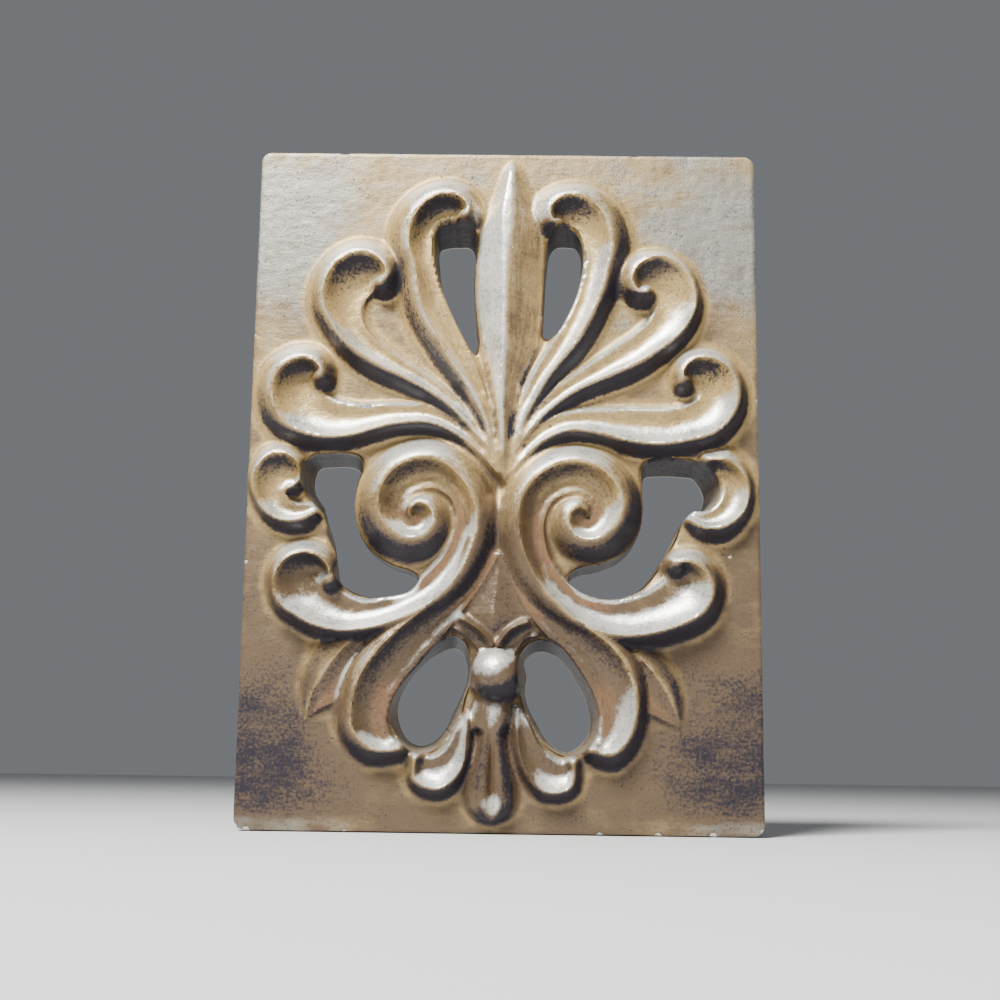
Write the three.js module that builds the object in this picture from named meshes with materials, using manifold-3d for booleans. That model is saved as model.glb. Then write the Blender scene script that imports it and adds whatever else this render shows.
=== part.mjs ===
// Wall plaque: a cast plaster panel with a raised, pierced palmette.
//
// Millimetres, +Z up, and the front faces -Y. The origin is the centre of the flat back, in the plane y = 0.
// The carving is drawn as [x, z] places on a panel of 180 by 243 mm and stretches with the panel's two sides.
// Heights of the relief are counted from the panel's front face.

import * as THREE from "three";
import { mergeVertices } from "three/addons/utils/BufferGeometryUtils.js";
import Module from "manifold-3d";

const PANEL_WIDTH = 180;
const PANEL_HEIGHT = 243;
const PANEL_THICKNESS = 20;
const CORNER_RADIUS = 4.2;
const RELIEF_HEIGHT = 9.5; // crest of the scrolls above the front face; every height is a share of it
const LIP_RISE = [0.38, 0.38, 0.32, 0.24, 0.24]; // inner edge of a leaf's hollow, from its root to its tip
const OPENING_FRONT = 3; // height of the openings' front outline above the front face
const ROOT_DEPTH = 3; // how far each carved body reaches into the panel

// The size of the panel on which the carving below was drawn.
const DRAWN_WIDTH = 180;
const DRAWN_HEIGHT = 243;
const CURL_STEPS = 8; // waypoints of a spiral
const STATIONS_PER_STEP = 1.14; // sections of a leaf for each waypoint of its rib
const OPENING_POINTS = 34;
const FOOT_DEPTH = 0.4; // how far the foot of a slope dips below the front face

// A rib is a leaf's crest: a pair is a waypoint, and six numbers are a spiral's centre, its first and last
// radius and its first and last angle in degrees. The lip is the inner edge of the hollow beside it, with its
// points spread evenly over the rib. The flank is the width of the outer slope, spread in the same way, and
// so is the rise, the crest's height as a share of the relief height. The nose is the round end's radius.
const LEAVES = [
  {
    rib: [[-1.6, 1.5], [-2.4, 6.2], [-3.7, 12.3], [-6.2, 21.4], [-9.9, 29.5], [-16.7, 39.4], [-21.7, 46.5],
        [-29.4, 60.9], [-14.2, 94.8, 26, 0.5, -134, -290]],
    lip: [[-0.7, 0.2], [-2.8, 13.1], [-6.8, 31.1], [-13.8, 48.9], [-24.4, 73], [-26.3, 87.5], [-23, 93.5],
        [-19, 94.7], [-16.1, 95.1]],
    flank: [1.2, 2.6, 4.4, 6.5, 8, 9, 8.6, 7.5, 5],
    rise: [0.45, 0.72, 0.85, 0.95, 0.95],
    nose: 4.6,
  },
  {
    rib: [[1.7, 2], [6.3, 20.7], [14.9, 36.6], [26.2, 51.3], [34.1, 69], [16.1, 94.6, 26.5, -3, -42, 128]],
    lip: [[1.5, 4], [7.7, 32.3], [21.9, 58.9], [27.8, 77], [27.8, 87.3], [24.5, 93], [19.3, 93.4]],
    flank: [1.5, 5, 6, 7.8, 8.6, 7.5, 7.5, 4.5],
    rise: [0.45, 0.75, 0.95, 0.95],
    nose: 4,
  },
  {
    rib: [[-2.4, 4.5], [-4.3, 8.7], [-9.7, 16.5], [-15.3, 22.8], [-22.5, 28.7], [-32.7, 34.7], [-42.5, 39.2],
        [-50.9, 44], [-47.7, 69.6, 20.2, 4, -128, -356]],
    lip: [[-1.9, 5.5], [-8.2, 17.4], [-20, 31.2], [-40.5, 45.4], [-50, 54.5], [-51.2, 60.4], [-50.4, 63.8],
        [-48.4, 67], [-45.3, 69.2]],
    flank: [1.2, 3, 4.4, 5.5, 5.4, 6.4, 7.5, 7, 4.5],
    rise: [0.45, 0.7, 0.82, 0.95, 0.95],
    nose: 4.4,
  },
  {
    rib: [[3, 7], [11, 20.1], [23.7, 31], [39.7, 38.7], [50.5, 44], [51.1, 68.9, 19, 2, -50, 232]],
    lip: [[2.5, 9], [15.7, 29.7], [38.8, 47.7], [51, 57.6], [53, 62.5], [52.3, 65.5], [51, 66.6]],
    flank: [1.5, 3.5, 5.8, 3.6, 3, 4.3, 5.6, 5.2, 4],
    rise: [0.45, 0.7, 0.9, 0.95],
    nose: 4,
  },
  {
    rib: [[-1.8, 1.3], [-4.6, 4.7], [-9.5, 10.2], [-16.4, 15.9], [-26.5, 19.6], [-38.8, 18.7], [-52.8, 14.6],
        [-60.4, 13.7], [-67.8, 33, 18.7, 4.4, -86, -325]],
    lip: [[-1.4, 2.2], [-7.2, 12.6], [-25.2, 25.1], [-53, 26], [-60, 27.7], [-64, 30.6], [-65.7, 32.8],
        [-65.9, 34.2], [-65.2, 35.4]],
    flank: [1.2, 2.8, 3.4, 3.4, 4.6, 7.4, 7.8, 7, 4.5],
    rise: [0.45, 0.68, 0.78, 0.92, 0.95],
    nose: 4.4,
  },
  {
    rib: [[1.7, 0.6], [4, 3.8], [8.9, 9.4], [15.1, 14.3], [23.1, 17.2], [33, 16.4], [43.3, 13.8], [54, 12.6],
        [67, 33.8, 19.9, 4.3, -97, 165]],
    lip: [[1.5, 2.2], [6.8, 13], [20.5, 23.2], [41.5, 25.3], [60.5, 26], [67.4, 28.8], [68.9, 31.2],
        [67.6, 33.2], [65.3, 34.3]],
    flank: [1.2, 2.8, 3, 4, 4.6, 4.7, 5.2, 5.2, 4],
    rise: [0.45, 0.68, 0.78, 0.92, 0.95],
    nose: 4,
  },
  {
    rib: [[-64.5, -12.2], [-67.4, -13.8], [-70.4, -15.5], [-75.8, -16], [-82.5, -12.8], [-86.4, -6.6],
        [-86.6, 0.8], [-82.6, 6.2], [-77.8, 7.6], [-73.4, 5.9], [-70.8, 2], [-71.2, -2], [-74.7, -4.8]],
    lip: [[-65.4, -9.4], [-70.4, -10.3], [-74.6, -8.2], [-76.4, -5.2], [-76.2, -3.6], [-75.4, -3.3],
        [-74.9, -4.3]],
    flank: [3, 4.6, 3.4, 2, 3.2, 5, 3.6, 3, 2],
    rise: [0.5, 0.72, 0.75, 0.75, 0.65],
    nose: 2,
  },
  {
    rib: [[73.2, -4.2, 12.8, 11.2, -139, 99]],
    lip: [[65.4, -10.8], [70, -11.2], [74.2, -8.3], [76.2, -4], [76, 0], [73.6, 3], [71.8, 4.8]],
    flank: [3, 4.2, 5.2, 3.4, 2.7, 3, 4.6, 6, 3.8],
    rise: [0.5, 0.75, 0.75, 0.75],
    nose: 3.6,
  },
];

// Each C-scroll runs from the eye of its volute, round and down, and ends in the curl of the lowest leaf.
const SCROLLS = [
  {
    rib: [[-30, -13.7, 1.5, 8.1, 200, -109], [-29.6, -11.8, 10.4, 17.6, -126, -275], [-22.7, 5.1],
        [-15.9, 0.4], [-11.2, -6.3], [-8.9, -14.5], [-10.3, -24.2], [-15.5, -35.5], [-24, -44],
        [-40.8, -52], [-55, -54], [-65, -51.8], [-67, -37.3, 12.2, 8.2, -103, -360]],
    lip: [[-30.4, -13.8], [-30.2, -13.4], [-29.6, -13.5], [-30.2, -14.4], [-31.6, -14.2], [-33, -11.6],
        [-33.4, -9], [-32.4, -6.4], [-28.6, -4.4], [-24, -3.8], [-17.6, -8.2], [-16.6, -19],
        [-27, -34.6], [-47.5, -43.4], [-56.2, -39.6], [-60, -36.6], [-61.2, -35], [-61.2, -34.6],
        [-60.2, -35.8]],
    flank: [0.8, 3.6, 6.2, 7.6, 9.2, 9.5, 9.2, 8.7, 8.8, 9, 9, 8, 4.5, 3.3, 3.4, 3, 5.4, 5, 4],
    lipRise: [0.3, 0.34, 0.38, 0.4, 0.4, 0.36, 0.32, 0.24, 0.22],
    rise: [0.62, 0.78, 0.95, 1, 1, 0.95, 0.95, 0.92],
    nose: 3.8,
  },
  {
    rib: [[28.4, -13.5, 1.5, 8.7, 57, 300], [28.3, -12.8, 10.2, 22.3, -30, 171], [5.7, -17.4], [7.2, -25],
        [10.3, -32.5], [15.5, -39.9], [20.2, -45], [25.5, -49.5], [32.5, -52.6], [40, -54.6], [52, -53.5],
        [61, -50.6], [61.5, -38, 11, 8.4, -63, 100]],
    lip: [[28.4, -13], [28.2, -13.4], [27.8, -13.8], [28.4, -14.6], [30, -14], [31, -11.6], [30.8, -9],
        [25.6, -5], [18.3, -7.2], [14.3, -15.5], [16.6, -28.2], [24.5, -38], [34, -42.3], [47.3, -40.6],
        [53.4, -37.6], [55.6, -35.8], [56.4, -34.4], [57, -32.8], [58.4, -31.2]],
    flank: [1.5, 6, 8, 7.8, 8.6, 8.8, 8.7, 8.3, 8, 8.5, 8.5, 6, 3.6, 4.6, 5.6, 5.3, 6, 6.6, 5],
    lipRise: [0.3, 0.34, 0.38, 0.4, 0.4, 0.36, 0.32, 0.24, 0.22],
    rise: [0.62, 0.78, 0.95, 1, 1, 0.95, 0.95, 0.92],
    nose: 4.6,
  },
];

// The lower scrolls hang from the C-scrolls, whose crest is their upper rim, and curl inwards at the foot.
const STEMS = [
  {
    rib: [[-10, -21], [-15, -34], [-24, -44.5], [-38.2, -56.7], [-47.3, -69], [-50, -79], [-49.3, -87.5],
        [-43.5, -93], [-34, -93.7]],
    lip: [[-0.9, -26.6], [-7.4, -38], [-16.1, -50.2], [-28, -64.8], [-35.3, -75], [-37.8, -81.5],
        [-38, -86.5], [-36.4, -90.4], [-33.8, -92.6]],
    flank: [3, 3, 3.5, 6.5, 6.4, 6.4, 6.4, 6.6, 4.4],
    rise: [0.9, 0.92, 0.92, 0.85, 0.8, 0.78],
    nose: 3.6,
  },
  {
    rib: [[7, -25], [15.2, -39.9], [25, -49.4], [37.3, -58.5], [44, -68], [45.8, -78], [43.5, -88.5],
        [38, -94], [31, -92.9]],
    lip: [[0.4, -27.6], [6.9, -43.6], [18.6, -57.8], [26.6, -66], [31.4, -74.6], [33.2, -81.4],
        [33.5, -86.8], [32.6, -90.4], [30.9, -92]],
    flank: [3, 3, 3.5, 6.5, 6, 4.6, 5, 6.2, 4.6],
    rise: [0.9, 0.92, 0.92, 0.85, 0.8, 0.78],
    nose: 3.6,
  },
];

// Two petals beside the bud, two straps over the ball and two bracts outside the lower scrolls. The edge is
// the height at which a bract's outer slope breaks off, and the hollow says how fast the inner one climbs.
const SMALL_LEAVES = [
  {
    rib: [[-11.8, -81.8], [-11.2, -88.1], [-13.1, -100.4], [-20.4, -106.5], [-28, -103.9], [-28.2, -96.3]],
    lip: [[-13, -82.6], [-15.5, -88.3], [-19.1, -94.2], [-24.5, -96.6], [-27.4, -96.6]],
    flank: [1.6, 2.2, 2.6, 4, 3.6, 3.2],
    rise: [0.45, 0.62, 0.66, 0.6],
    nose: 3,
  },
  {
    rib: [[6.1, -78.9], [6.2, -87.9], [8.3, -98.5], [15.4, -107], [23.5, -105.9], [24.8, -97.3]],
    lip: [[7, -80.4], [9.9, -85.2], [14.4, -93.4], [21.2, -98], [24.1, -97.8]],
    flank: [1.6, 2.2, 2.6, 3.4, 3.6, 3.2],
    rise: [0.45, 0.62, 0.66, 0.6],
    nose: 3,
  },
  {
    rib: [[-14.1, -49.2], [-7.2, -53.6], [-2.7, -58.6]],
    lip: [[-16.5, -52.3], [-11.3, -55.5], [-6.6, -61]],
    flank: [2, 2, 2],
    rise: [0.72, 0.7, 0.66],
  },
  {
    rib: [[9.5, -50.3], [3.1, -53.1], [-1.3, -58.6]],
    lip: [[13, -54.6], [8.2, -56], [4.6, -61]],
    flank: [2, 2, 2],
    rise: [0.72, 0.7, 0.66],
  },
  {
    rib: [[-65.9, -83], [-65.2, -78.6], [-63.9, -74.9], [-61.6, -70.5], [-58.6, -65.7], [-54.7, -60.9],
        [-49.7, -56]],
    lip: [[-65.8, -83.4], [-63.6, -81.9], [-60.5, -80], [-55.4, -77.1], [-52.5, -70.5], [-48.5, -64],
        [-43, -58]],
    flank: [0.5, 2.9, 5, 7.3, 8.4, 9, 8.8],
    lipRise: [0.12, 0.22, 0.22],
    rise: [0.14, 0.3, 0.38, 0.42, 0.42],
    edge: 0.1,
    hollow: 1.3,
  },
  {
    rib: [[61.1, -85], [59.5, -80], [57.8, -75.7], [55.7, -71.7], [52.6, -67.7], [49.3, -64], [45.5, -60.3]],
    lip: [[60.9, -85.3], [58.5, -84.2], [55, -82.6], [49.4, -79.4], [47, -73], [43.5, -67], [38.5, -61.5]],
    flank: [0.5, 2.6, 4.4, 5.8, 6.4, 6.6, 6.5],
    lipRise: [0.12, 0.22, 0.22],
    rise: [0.14, 0.3, 0.38, 0.42, 0.42],
    edge: 0.1,
    hollow: 1.3,
  },
];

// The spear in the middle, in rows from the tip down: z, left edge, ridge, right edge, ridge's rise, edge's
// rise, and the width of the flat that runs along the ridge.
const SPEAR = [
  [118.4, 1.2, 1.8, 2.4, 0.04, 0, 0.3],
  [113.5, -0.5, 1.5, 5.4, 0.42, 0, 2],
  [101.9, -4.7, 0.6, 11, 0.7, 0.03, 3.2],
  [96.2, -6.4, 0.3, 12.8, 0.75, 0.06, 4],
  [90, -9.2, 0.3, 13.9, 0.76, 0.12, 3.2],
  [79, -10.1, -0.2, 14, 0.78, 0.16, 1.6],
  [64, -9.4, -0.1, 13.2, 0.76, 0.2, 0.9],
  [48.4, -7.8, -0.3, 11.4, 0.72, 0.24, 0.7],
  [35, -4.9, -1, 5.6, 0.68, 0.3, 0.7],
  [24.4, -3.5, -1.2, 4.2, 0.66, 0.32, 0.6],
  [8.2, -1.5, -0.5, 2.7, 0.58, 0.36, 0.4],
  [-1.5, -0.3, 0.2, 0.9, 0.5, 0.4, 0.2],
];

// The bud below the ball: rows from the collar down: z, left edge, right edge, rise of the lobes, groove.
const BUD = [
  [-76, -8.2, 4.6, 0.5, 0],
  [-82, -9.8, 4.8, 0.6, 0],
  [-86, -10.4, 3.8, 0.58, 0],
  [-88.4, -7, 1.8, 0.56, 0.03],
  [-94, -8.3, 2.9, 0.6, 0.14],
  [-99.5, -10.2, 4.3, 0.66, 0.24],
  [-104.3, -11.5, 5.7, 0.7, 0.28],
  [-109.2, -11.9, 6.1, 0.72, 0.28],
  [-113, -11, 5.5, 0.66, 0.2],
  [-115.8, -8.6, 3.4, 0.5, 0.1],
  [-117.6, -5.4, -0.6, 0.26, 0.03],
  [-118.6, -4, -2.6, 0.02, 0],
];
const LOBE = [[0, 0], [0.08, 0.62], [0.26, 1], [0.42, 0.9]];

const BALL = { x: -1.2, z: -68.4, radius: 9.1, rise: 0.3 };

// The pointed field between the two C-scrolls, a low pyramid: its outline and its peak.
const FIELD = {
  outline: [[-0.6, -25], [-12.1, -47.6], [-2, -58.5], [9.5, -49.4]],
  peak: [-3, -48.8],
  rise: 0.62,
};
const FIELD_RIM = 0.24;

// Each opening is a smooth closed line at the back and another one in front, at the height of the lips.
const OPENINGS = [
  {
    front: [[-25, 91.8], [-21.5, 94.1], [-16.8, 94.5], [-11.7, 92.7], [-9.8, 86.3], [-10.8, 79.1],
          [-11.2, 70.5], [-10.3, 59.3], [-9.2, 49.4], [-10.6, 45.3], [-13.5, 48.9], [-17.5, 56.3],
          [-21.3, 64.8], [-24.3, 74.1], [-26, 83.5]],
    back: [[-24.7, 90.6], [-21.3, 92], [-17.6, 92.2], [-13.8, 92.1], [-11.9, 89.5], [-11.6, 79],
         [-11.6, 70], [-10.8, 59], [-10, 50.4], [-11.2, 47], [-13.6, 50.2], [-17.3, 57], [-20.8, 66],
         [-23.6, 75], [-24.8, 84]],
  },
  {
    front: [[15, 88.4], [17.8, 92.2], [22.2, 93], [25.4, 90.8], [27.6, 85.9], [28, 80.3], [26.9, 72.8],
          [24.8, 65.3], [21.6, 58.2], [18.1, 53], [15.3, 51.1], [13.3, 52.2], [13.1, 58.5], [13.4, 68.9],
          [14, 79.4]],
    back: [[16.3, 89.8], [18.5, 92.4], [22, 92.8], [25.6, 92.2], [27.6, 88.6], [27.6, 82], [26.6, 75],
         [24.6, 67.4], [21.6, 59.8], [18.2, 54.2], [15.6, 52.2], [14, 53.4], [13.9, 60], [14.4, 71],
         [15, 82]],
  },
  {
    front: [[-70.3, 4.5], [-67.6, 8.1], [-61.7, 9.2], [-55.7, 9.3], [-50.4, 7.9], [-49.2, 4], [-50.8, -1],
          [-51.8, -8.1], [-51.1, -15.2], [-48.8, -21.9], [-44.1, -27.1], [-38.1, -30.7], [-31.8, -32.7],
          [-28.5, -35.2], [-31.5, -39.6], [-38.5, -41.8], [-46, -42.1], [-53.4, -39.4], [-57.8, -34.6],
          [-57.2, -29.3], [-60.3, -21.7], [-62.4, -13.6], [-67.7, -8], [-70.8, -3]],
    back: [[-68.6, 3.2], [-66.9, 6.8], [-61.8, 7.7], [-56.3, 7.8], [-52.6, 6.4], [-51, 2.4], [-51.9, -2.6],
         [-52.3, -8.5], [-51.4, -15.2], [-49, -21.7], [-44.3, -26.7], [-38.3, -30.2], [-32.2, -32.4],
         [-29.5, -35], [-32, -38.8], [-38.5, -41], [-45.8, -41.2], [-52.8, -38.6], [-58, -34.6],
         [-59.3, -28.5], [-60.6, -21], [-63.2, -13.4], [-64.8, -7.8], [-68.2, -2.4]],
  },
  {
    front: [[48.2, 4.4], [50, 7.7], [54.9, 8.8], [61.9, 8.7], [67.5, 7.9], [72, 5.4], [75.1, 2.3],
          [76.4, -2], [75.7, -6.3], [72.8, -9.7], [66.2, -11], [62.4, -15.4], [60, -21], [56.2, -27.6],
          [52.3, -33.6], [47.6, -38.6], [41.5, -41.4], [35.7, -41.7], [29.8, -40.4], [25.3, -38.1],
          [22.4, -34.3], [26, -31.1], [34.9, -28.9], [40.8, -26.4], [45.7, -22.1], [48.1, -16.8],
          [49, -10.5], [48.7, -3.4]],
    back: [[50.4, 2.4], [51.5, 5], [55.2, 5.6], [60, 5.7], [64.3, 5.5], [68.7, 4.8], [70.8, 2.2],
         [72.2, -0.7], [72.6, -3.3], [71, -7.5], [65.6, -10.8], [62, -15], [59.6, -20.8], [55.8, -27.2],
         [52, -33], [47.4, -38], [41.3, -40.8], [35.7, -41.1], [30, -39.8], [25.9, -37.6], [23.2, -34.5],
         [26.2, -31.7], [34.7, -29.6], [40.6, -27], [45.4, -22.6], [47.9, -17.2], [49.2, -10.5],
         [49.6, -3.4]],
  },
  {
    front: [[-16.5, -54.4], [-12.7, -56.5], [-10.6, -60.9], [-9.8, -66], [-10.4, -71.5], [-12, -76.6],
          [-12.9, -81.3], [-15.9, -87.1], [-19.2, -92.1], [-23.5, -94.9], [-29, -95.1], [-33.1, -92.3],
          [-36.3, -88.3], [-38.1, -84], [-37.2, -78.2], [-34.3, -72.4], [-27.6, -64.5], [-22.3, -58]],
    back: [[-17.3, -57.8], [-14.4, -59.2], [-12.2, -63.5], [-12.1, -68.8], [-13.8, -74.1], [-16.2, -79.4],
         [-19.6, -86.5], [-24.1, -91.1], [-28.3, -92.2], [-32.3, -90.5], [-34.9, -86.7], [-36.4, -80.4],
         [-35.2, -74.4], [-30.7, -67.2], [-24.4, -61.1]],
  },
  {
    front: [[13.7, -55.6], [9.3, -57.2], [6.6, -60.7], [5.6, -65.5], [6, -70.6], [7.1, -76.7], [10.2, -84],
          [14, -90.7], [18.1, -94], [22.5, -95.6], [27.3, -94.9], [31.3, -91.5], [33.4, -87.4],
          [33.7, -81.4], [31.6, -74.6], [27.2, -66.9], [22.3, -60.1], [18.2, -56.8]],
    back: [[14.2, -58.5], [10.2, -60], [8.1, -62.8], [9.1, -67.1], [8.6, -72.1], [9.4, -77.3], [13, -84.3],
         [16.9, -90.2], [21.2, -93.3], [23.6, -94], [27.2, -92.2], [31, -87.6], [31.7, -82.3],
         [29.9, -75.3], [25.6, -67.6], [21, -61.2]],
  },
];

// Shares of the way from the lip to the crest, and from the crest to the foot, at which a section has points.
const HOLLOW_SHARES = [0, 0.38, 0.76];
const SLOPE_SHARES = [0, 0.36, 0.74];
const HOLLOW_POWER = 3.2; // how late a hollow climbs to its crest
const HOLLOW_DIP = 0.3; // how far its floor sinks below the lip, as a share of the lip's height
const SLOPE_POWER = 1.8; // how late the outer slope falls to its foot

const wide = PANEL_WIDTH / DRAWN_WIDTH;
const tall = PANEL_HEIGHT / DRAWN_HEIGHT;

const wasm = await Module();
wasm.setup();

// A place in the carving's drawing, at a height above the front face, as a point of the panel.
function onPanel(x, z, height) {
  return new THREE.Vector3(x * wide, -PANEL_THICKNESS - height, z * tall);
}

// A closed three.js geometry as a solid, with its faces turned outwards.
function solidOf(geometry) {
  const bare = geometry.clone();
  bare.deleteAttribute("normal");
  bare.deleteAttribute("uv");
  const merged = mergeVertices(bare, 1e-4);
  const triVerts = new Uint32Array(merged.index.array);
  const vertProperties = merged.attributes.position.array;
  const made = new wasm.Manifold(new wasm.Mesh({ numProp: 3, vertProperties, triVerts }));
  if (made.volume() > 0) return made;
  const turned = triVerts.map((_, i) => triVerts[i - (i % 3) + [0, 2, 1][i % 3]]);
  return new wasm.Manifold(new wasm.Mesh({ numProp: 3, vertProperties, triVerts: turned }));
}

// A solid through rings of as many points each, closed at both ends.
function loft(rings) {
  const sides = rings[0].length;
  const position = rings.flat().flatMap((point) => point.toArray());
  const index = [];
  for (let i = 0; i + 1 < rings.length; i++) {
    for (let k = 0; k < sides; k++) {
      const a = i * sides + k;
      const b = i * sides + ((k + 1) % sides);
      index.push(a, b, a + sides, b, b + sides, a + sides);
    }
  }
  const cap = THREE.ShapeUtils.triangulateShape(flatRing(rings[0]), []);
  const last = (rings.length - 1) * sides;
  const end = THREE.ShapeUtils.triangulateShape(flatRing(rings.at(-1)), []);
  cap.forEach(([a, b, c]) => index.push(...(flip(rings[0]) ? [a, b, c] : [a, c, b])));
  end.forEach(([a, b, c]) => {
    const turned = flip(rings.at(-1)) ? [a, c, b] : [a, b, c];
    index.push(...turned.map((v) => v + last));
  });
  const geometry = new THREE.BufferGeometry();
  geometry.setAttribute("position", new THREE.Float32BufferAttribute(position, 3));
  geometry.setIndex(index);
  return solidOf(geometry);
}

// A ring in its own plane: along the line between its first and last point, and along the height.
function flatRing(ring) {
  const start = ring[0];
  const along = ring.at(-1).clone().sub(start).setY(0).normalize();
  return ring.map((point) => new THREE.Vector2(point.clone().sub(start).dot(along), -point.y));
}

function flip(ring) {
  return THREE.ShapeUtils.area(flatRing(ring)) < 0;
}

// A value of a list that is spread evenly over 0 to 1.
function along(list, t) {
  const at = t * (list.length - 1);
  const i = Math.min(Math.floor(at), list.length - 2);
  return THREE.MathUtils.lerp(list[i], list[i + 1], at - i);
}

// A smooth line through waypoints and spirals.
function line(parts) {
  const points = parts.flatMap((part) => {
    if (part.length === 2) return [new THREE.Vector3(part[0], 0, part[1])];
    const [x, z, first, last, from, to] = part;
    return Array.from({ length: CURL_STEPS + 1 }, (_, i) => {
      const share = i / CURL_STEPS;
      const radius = THREE.MathUtils.lerp(first, last, share);
      const angle = THREE.MathUtils.degToRad(THREE.MathUtils.lerp(from, to, share));
      return new THREE.Vector3(x + radius * Math.cos(angle), 0, z + radius * Math.sin(angle));
    });
  });
  return new THREE.CatmullRomCurve3(points, false, "centripetal");
}

// One leaf: sections across its rib, each from the lip over the crest to the foot, and a round nose.
function leaf({ rib, lip, flank, rise, nose, lipRise = LIP_RISE, edge = 0, hollow = HOLLOW_POWER }) {
  const crestLine = line(rib);
  const lipLine = line(lip);
  const count = Math.round((crestLine.points.length - 1) * STATIONS_PER_STEP);
  const stations = Array.from({ length: count + 1 }, (_, i) => {
    const t = i / count;
    const crest = crestLine.getPoint(t);
    const inner = lipLine.getPoint(t);
    const tangent = crestLine.getTangent(t);
    return { t, crest, inner, out: new THREE.Vector3(-tangent.z, 0, tangent.x) };
  });
  const lean = stations.reduce((sum, s) => sum + s.crest.clone().sub(s.inner).dot(s.out), 0);
  const rings = stations.map(({ t, crest, inner, out }) => {
    out.multiplyScalar(Math.sign(lean));
    const top = along(rise, t) * RELIEF_HEIGHT;
    const low = Math.min(along(lipRise, t), along(rise, t) * 0.8) * RELIEF_HEIGHT;
    const rim = edge * RELIEF_HEIGHT;
    const foot = crest.clone().addScaledVector(out, along(flank, t));
    return [
      onPanel(inner.x, inner.z, -ROOT_DEPTH),
      ...HOLLOW_SHARES.map((share) => {
        const at = inner.clone().lerp(crest, share);
        const climb = (top - low) * share ** hollow;
        return onPanel(at.x, at.z, low + climb - HOLLOW_DIP * low * Math.sin(Math.PI * share));
      }),
      ...SLOPE_SHARES.map((share) => {
        const at = crest.clone().lerp(foot, share);
        return onPanel(at.x, at.z, top - (top - rim) * share ** SLOPE_POWER);
      }),
      onPanel(foot.x, foot.z, rim || -FOOT_DEPTH),
      onPanel(foot.x, foot.z, -ROOT_DEPTH),
    ];
  });
  const body = loft(rings);
  if (!nose) return body;
  const tip = crestLine.getPoint(1);
  return body.add(dome(tip.x, tip.z, nose, along(rise, 1) * RELIEF_HEIGHT));
}

// A rounded boss whose widest section lies on the front face.
function dome(x, z, radius, height) {
  const ball = new THREE.SphereGeometry(1, 12, 6).rotateX(Math.PI / 2);
  const at = onPanel(x, z, 0);
  return solidOf(ball.scale(radius * wide, height, radius * tall).translate(at.x, at.y, at.z));
}

function panel() {
  const x = PANEL_WIDTH / 2;
  const z = PANEL_HEIGHT / 2;
  const r = CORNER_RADIUS;
  const shape = new THREE.Shape();
  shape.absarc(x - r, z - r, r, 0, Math.PI / 2);
  shape.absarc(r - x, z - r, r, Math.PI / 2, Math.PI);
  shape.absarc(r - x, r - z, r, Math.PI, 1.5 * Math.PI);
  shape.absarc(x - r, r - z, r, 1.5 * Math.PI, 2 * Math.PI);
  const settings = { depth: PANEL_THICKNESS, bevelEnabled: false, curveSegments: 6 };
  return solidOf(new THREE.ExtrudeGeometry(shape, settings).rotateX(Math.PI / 2));
}

function spear() {
  return loft(
    SPEAR.map(([z, left, ridge, right, top, edge, flat]) => [
      onPanel(left, z, -ROOT_DEPTH),
      onPanel(left, z, edge * RELIEF_HEIGHT),
      onPanel(ridge - flat / 2, z, top * RELIEF_HEIGHT),
      onPanel(ridge + flat / 2, z, top * RELIEF_HEIGHT),
      onPanel(right, z, edge * RELIEF_HEIGHT),
      onPanel(right, z, -ROOT_DEPTH),
    ]),
  );
}

function bud() {
  return loft(
    BUD.map(([z, left, right, top, groove]) => {
      const side = LOBE.map(([share, height]) => [share, height * top]);
      const section = [...side, [0.5, 0.9 * top - groove], ...side.map(([u, h]) => [1 - u, h]).reverse()];
      return [
        onPanel(left, z, -ROOT_DEPTH),
        ...section.map(([u, h]) => onPanel(THREE.MathUtils.lerp(left, right, u), z, h * RELIEF_HEIGHT)),
        onPanel(right, z, -ROOT_DEPTH),
      ];
    }),
  );
}

function ball() {
  const geometry = new THREE.SphereGeometry(BALL.radius, 16, 12).rotateX(Math.PI / 2);
  const at = onPanel(BALL.x, BALL.z, BALL.rise * RELIEF_HEIGHT);
  return solidOf(geometry.translate(at.x, at.y, at.z));
}

function field() {
  const { outline, peak, rise } = FIELD;
  const rim = outline.map(([x, z]) => onPanel(x, z, FIELD_RIM * RELIEF_HEIGHT));
  const base = outline.map(([x, z]) => onPanel(x, z, -ROOT_DEPTH));
  const top = onPanel(...peak, rise * RELIEF_HEIGHT);
  const floor = onPanel(...peak, -ROOT_DEPTH);
  const triangles = rim.flatMap((corner, i) => {
    const j = (i + 1) % rim.length;
    return [rim[i], rim[j], top, base[j], base[i], floor, rim[i], base[i], base[j], rim[i], base[j], rim[j]];
  });
  return solidOf(new THREE.BufferGeometry().setFromPoints(triangles));
}

// Evenly spaced places on a smooth closed line.
function closedLine(points) {
  const curve = new THREE.CatmullRomCurve3(points.map(([x, z]) => new THREE.Vector3(x, 0, z)), true);
  return Array.from({ length: OPENING_POINTS }, (_, i) => curve.getPointAt(i / OPENING_POINTS));
}

// A cutter for one opening: its walls run from its back line to its front line, then straight on.
function opening({ back, front }) {
  const far = closedLine(back);
  const near = closedLine(front);
  const margin = RELIEF_HEIGHT + BALL.radius;
  const rings = [[-1, 0], [PANEL_THICKNESS + OPENING_FRONT, 1], [PANEL_THICKNESS + margin, 1]];
  return prism(
    rings.map(([depth, share]) =>
      far.map((place, i) => {
        const at = place.clone().lerp(near[i], share);
        return onPanel(at.x, at.z, depth - PANEL_THICKNESS);
      }),
    ),
  );
}

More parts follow.
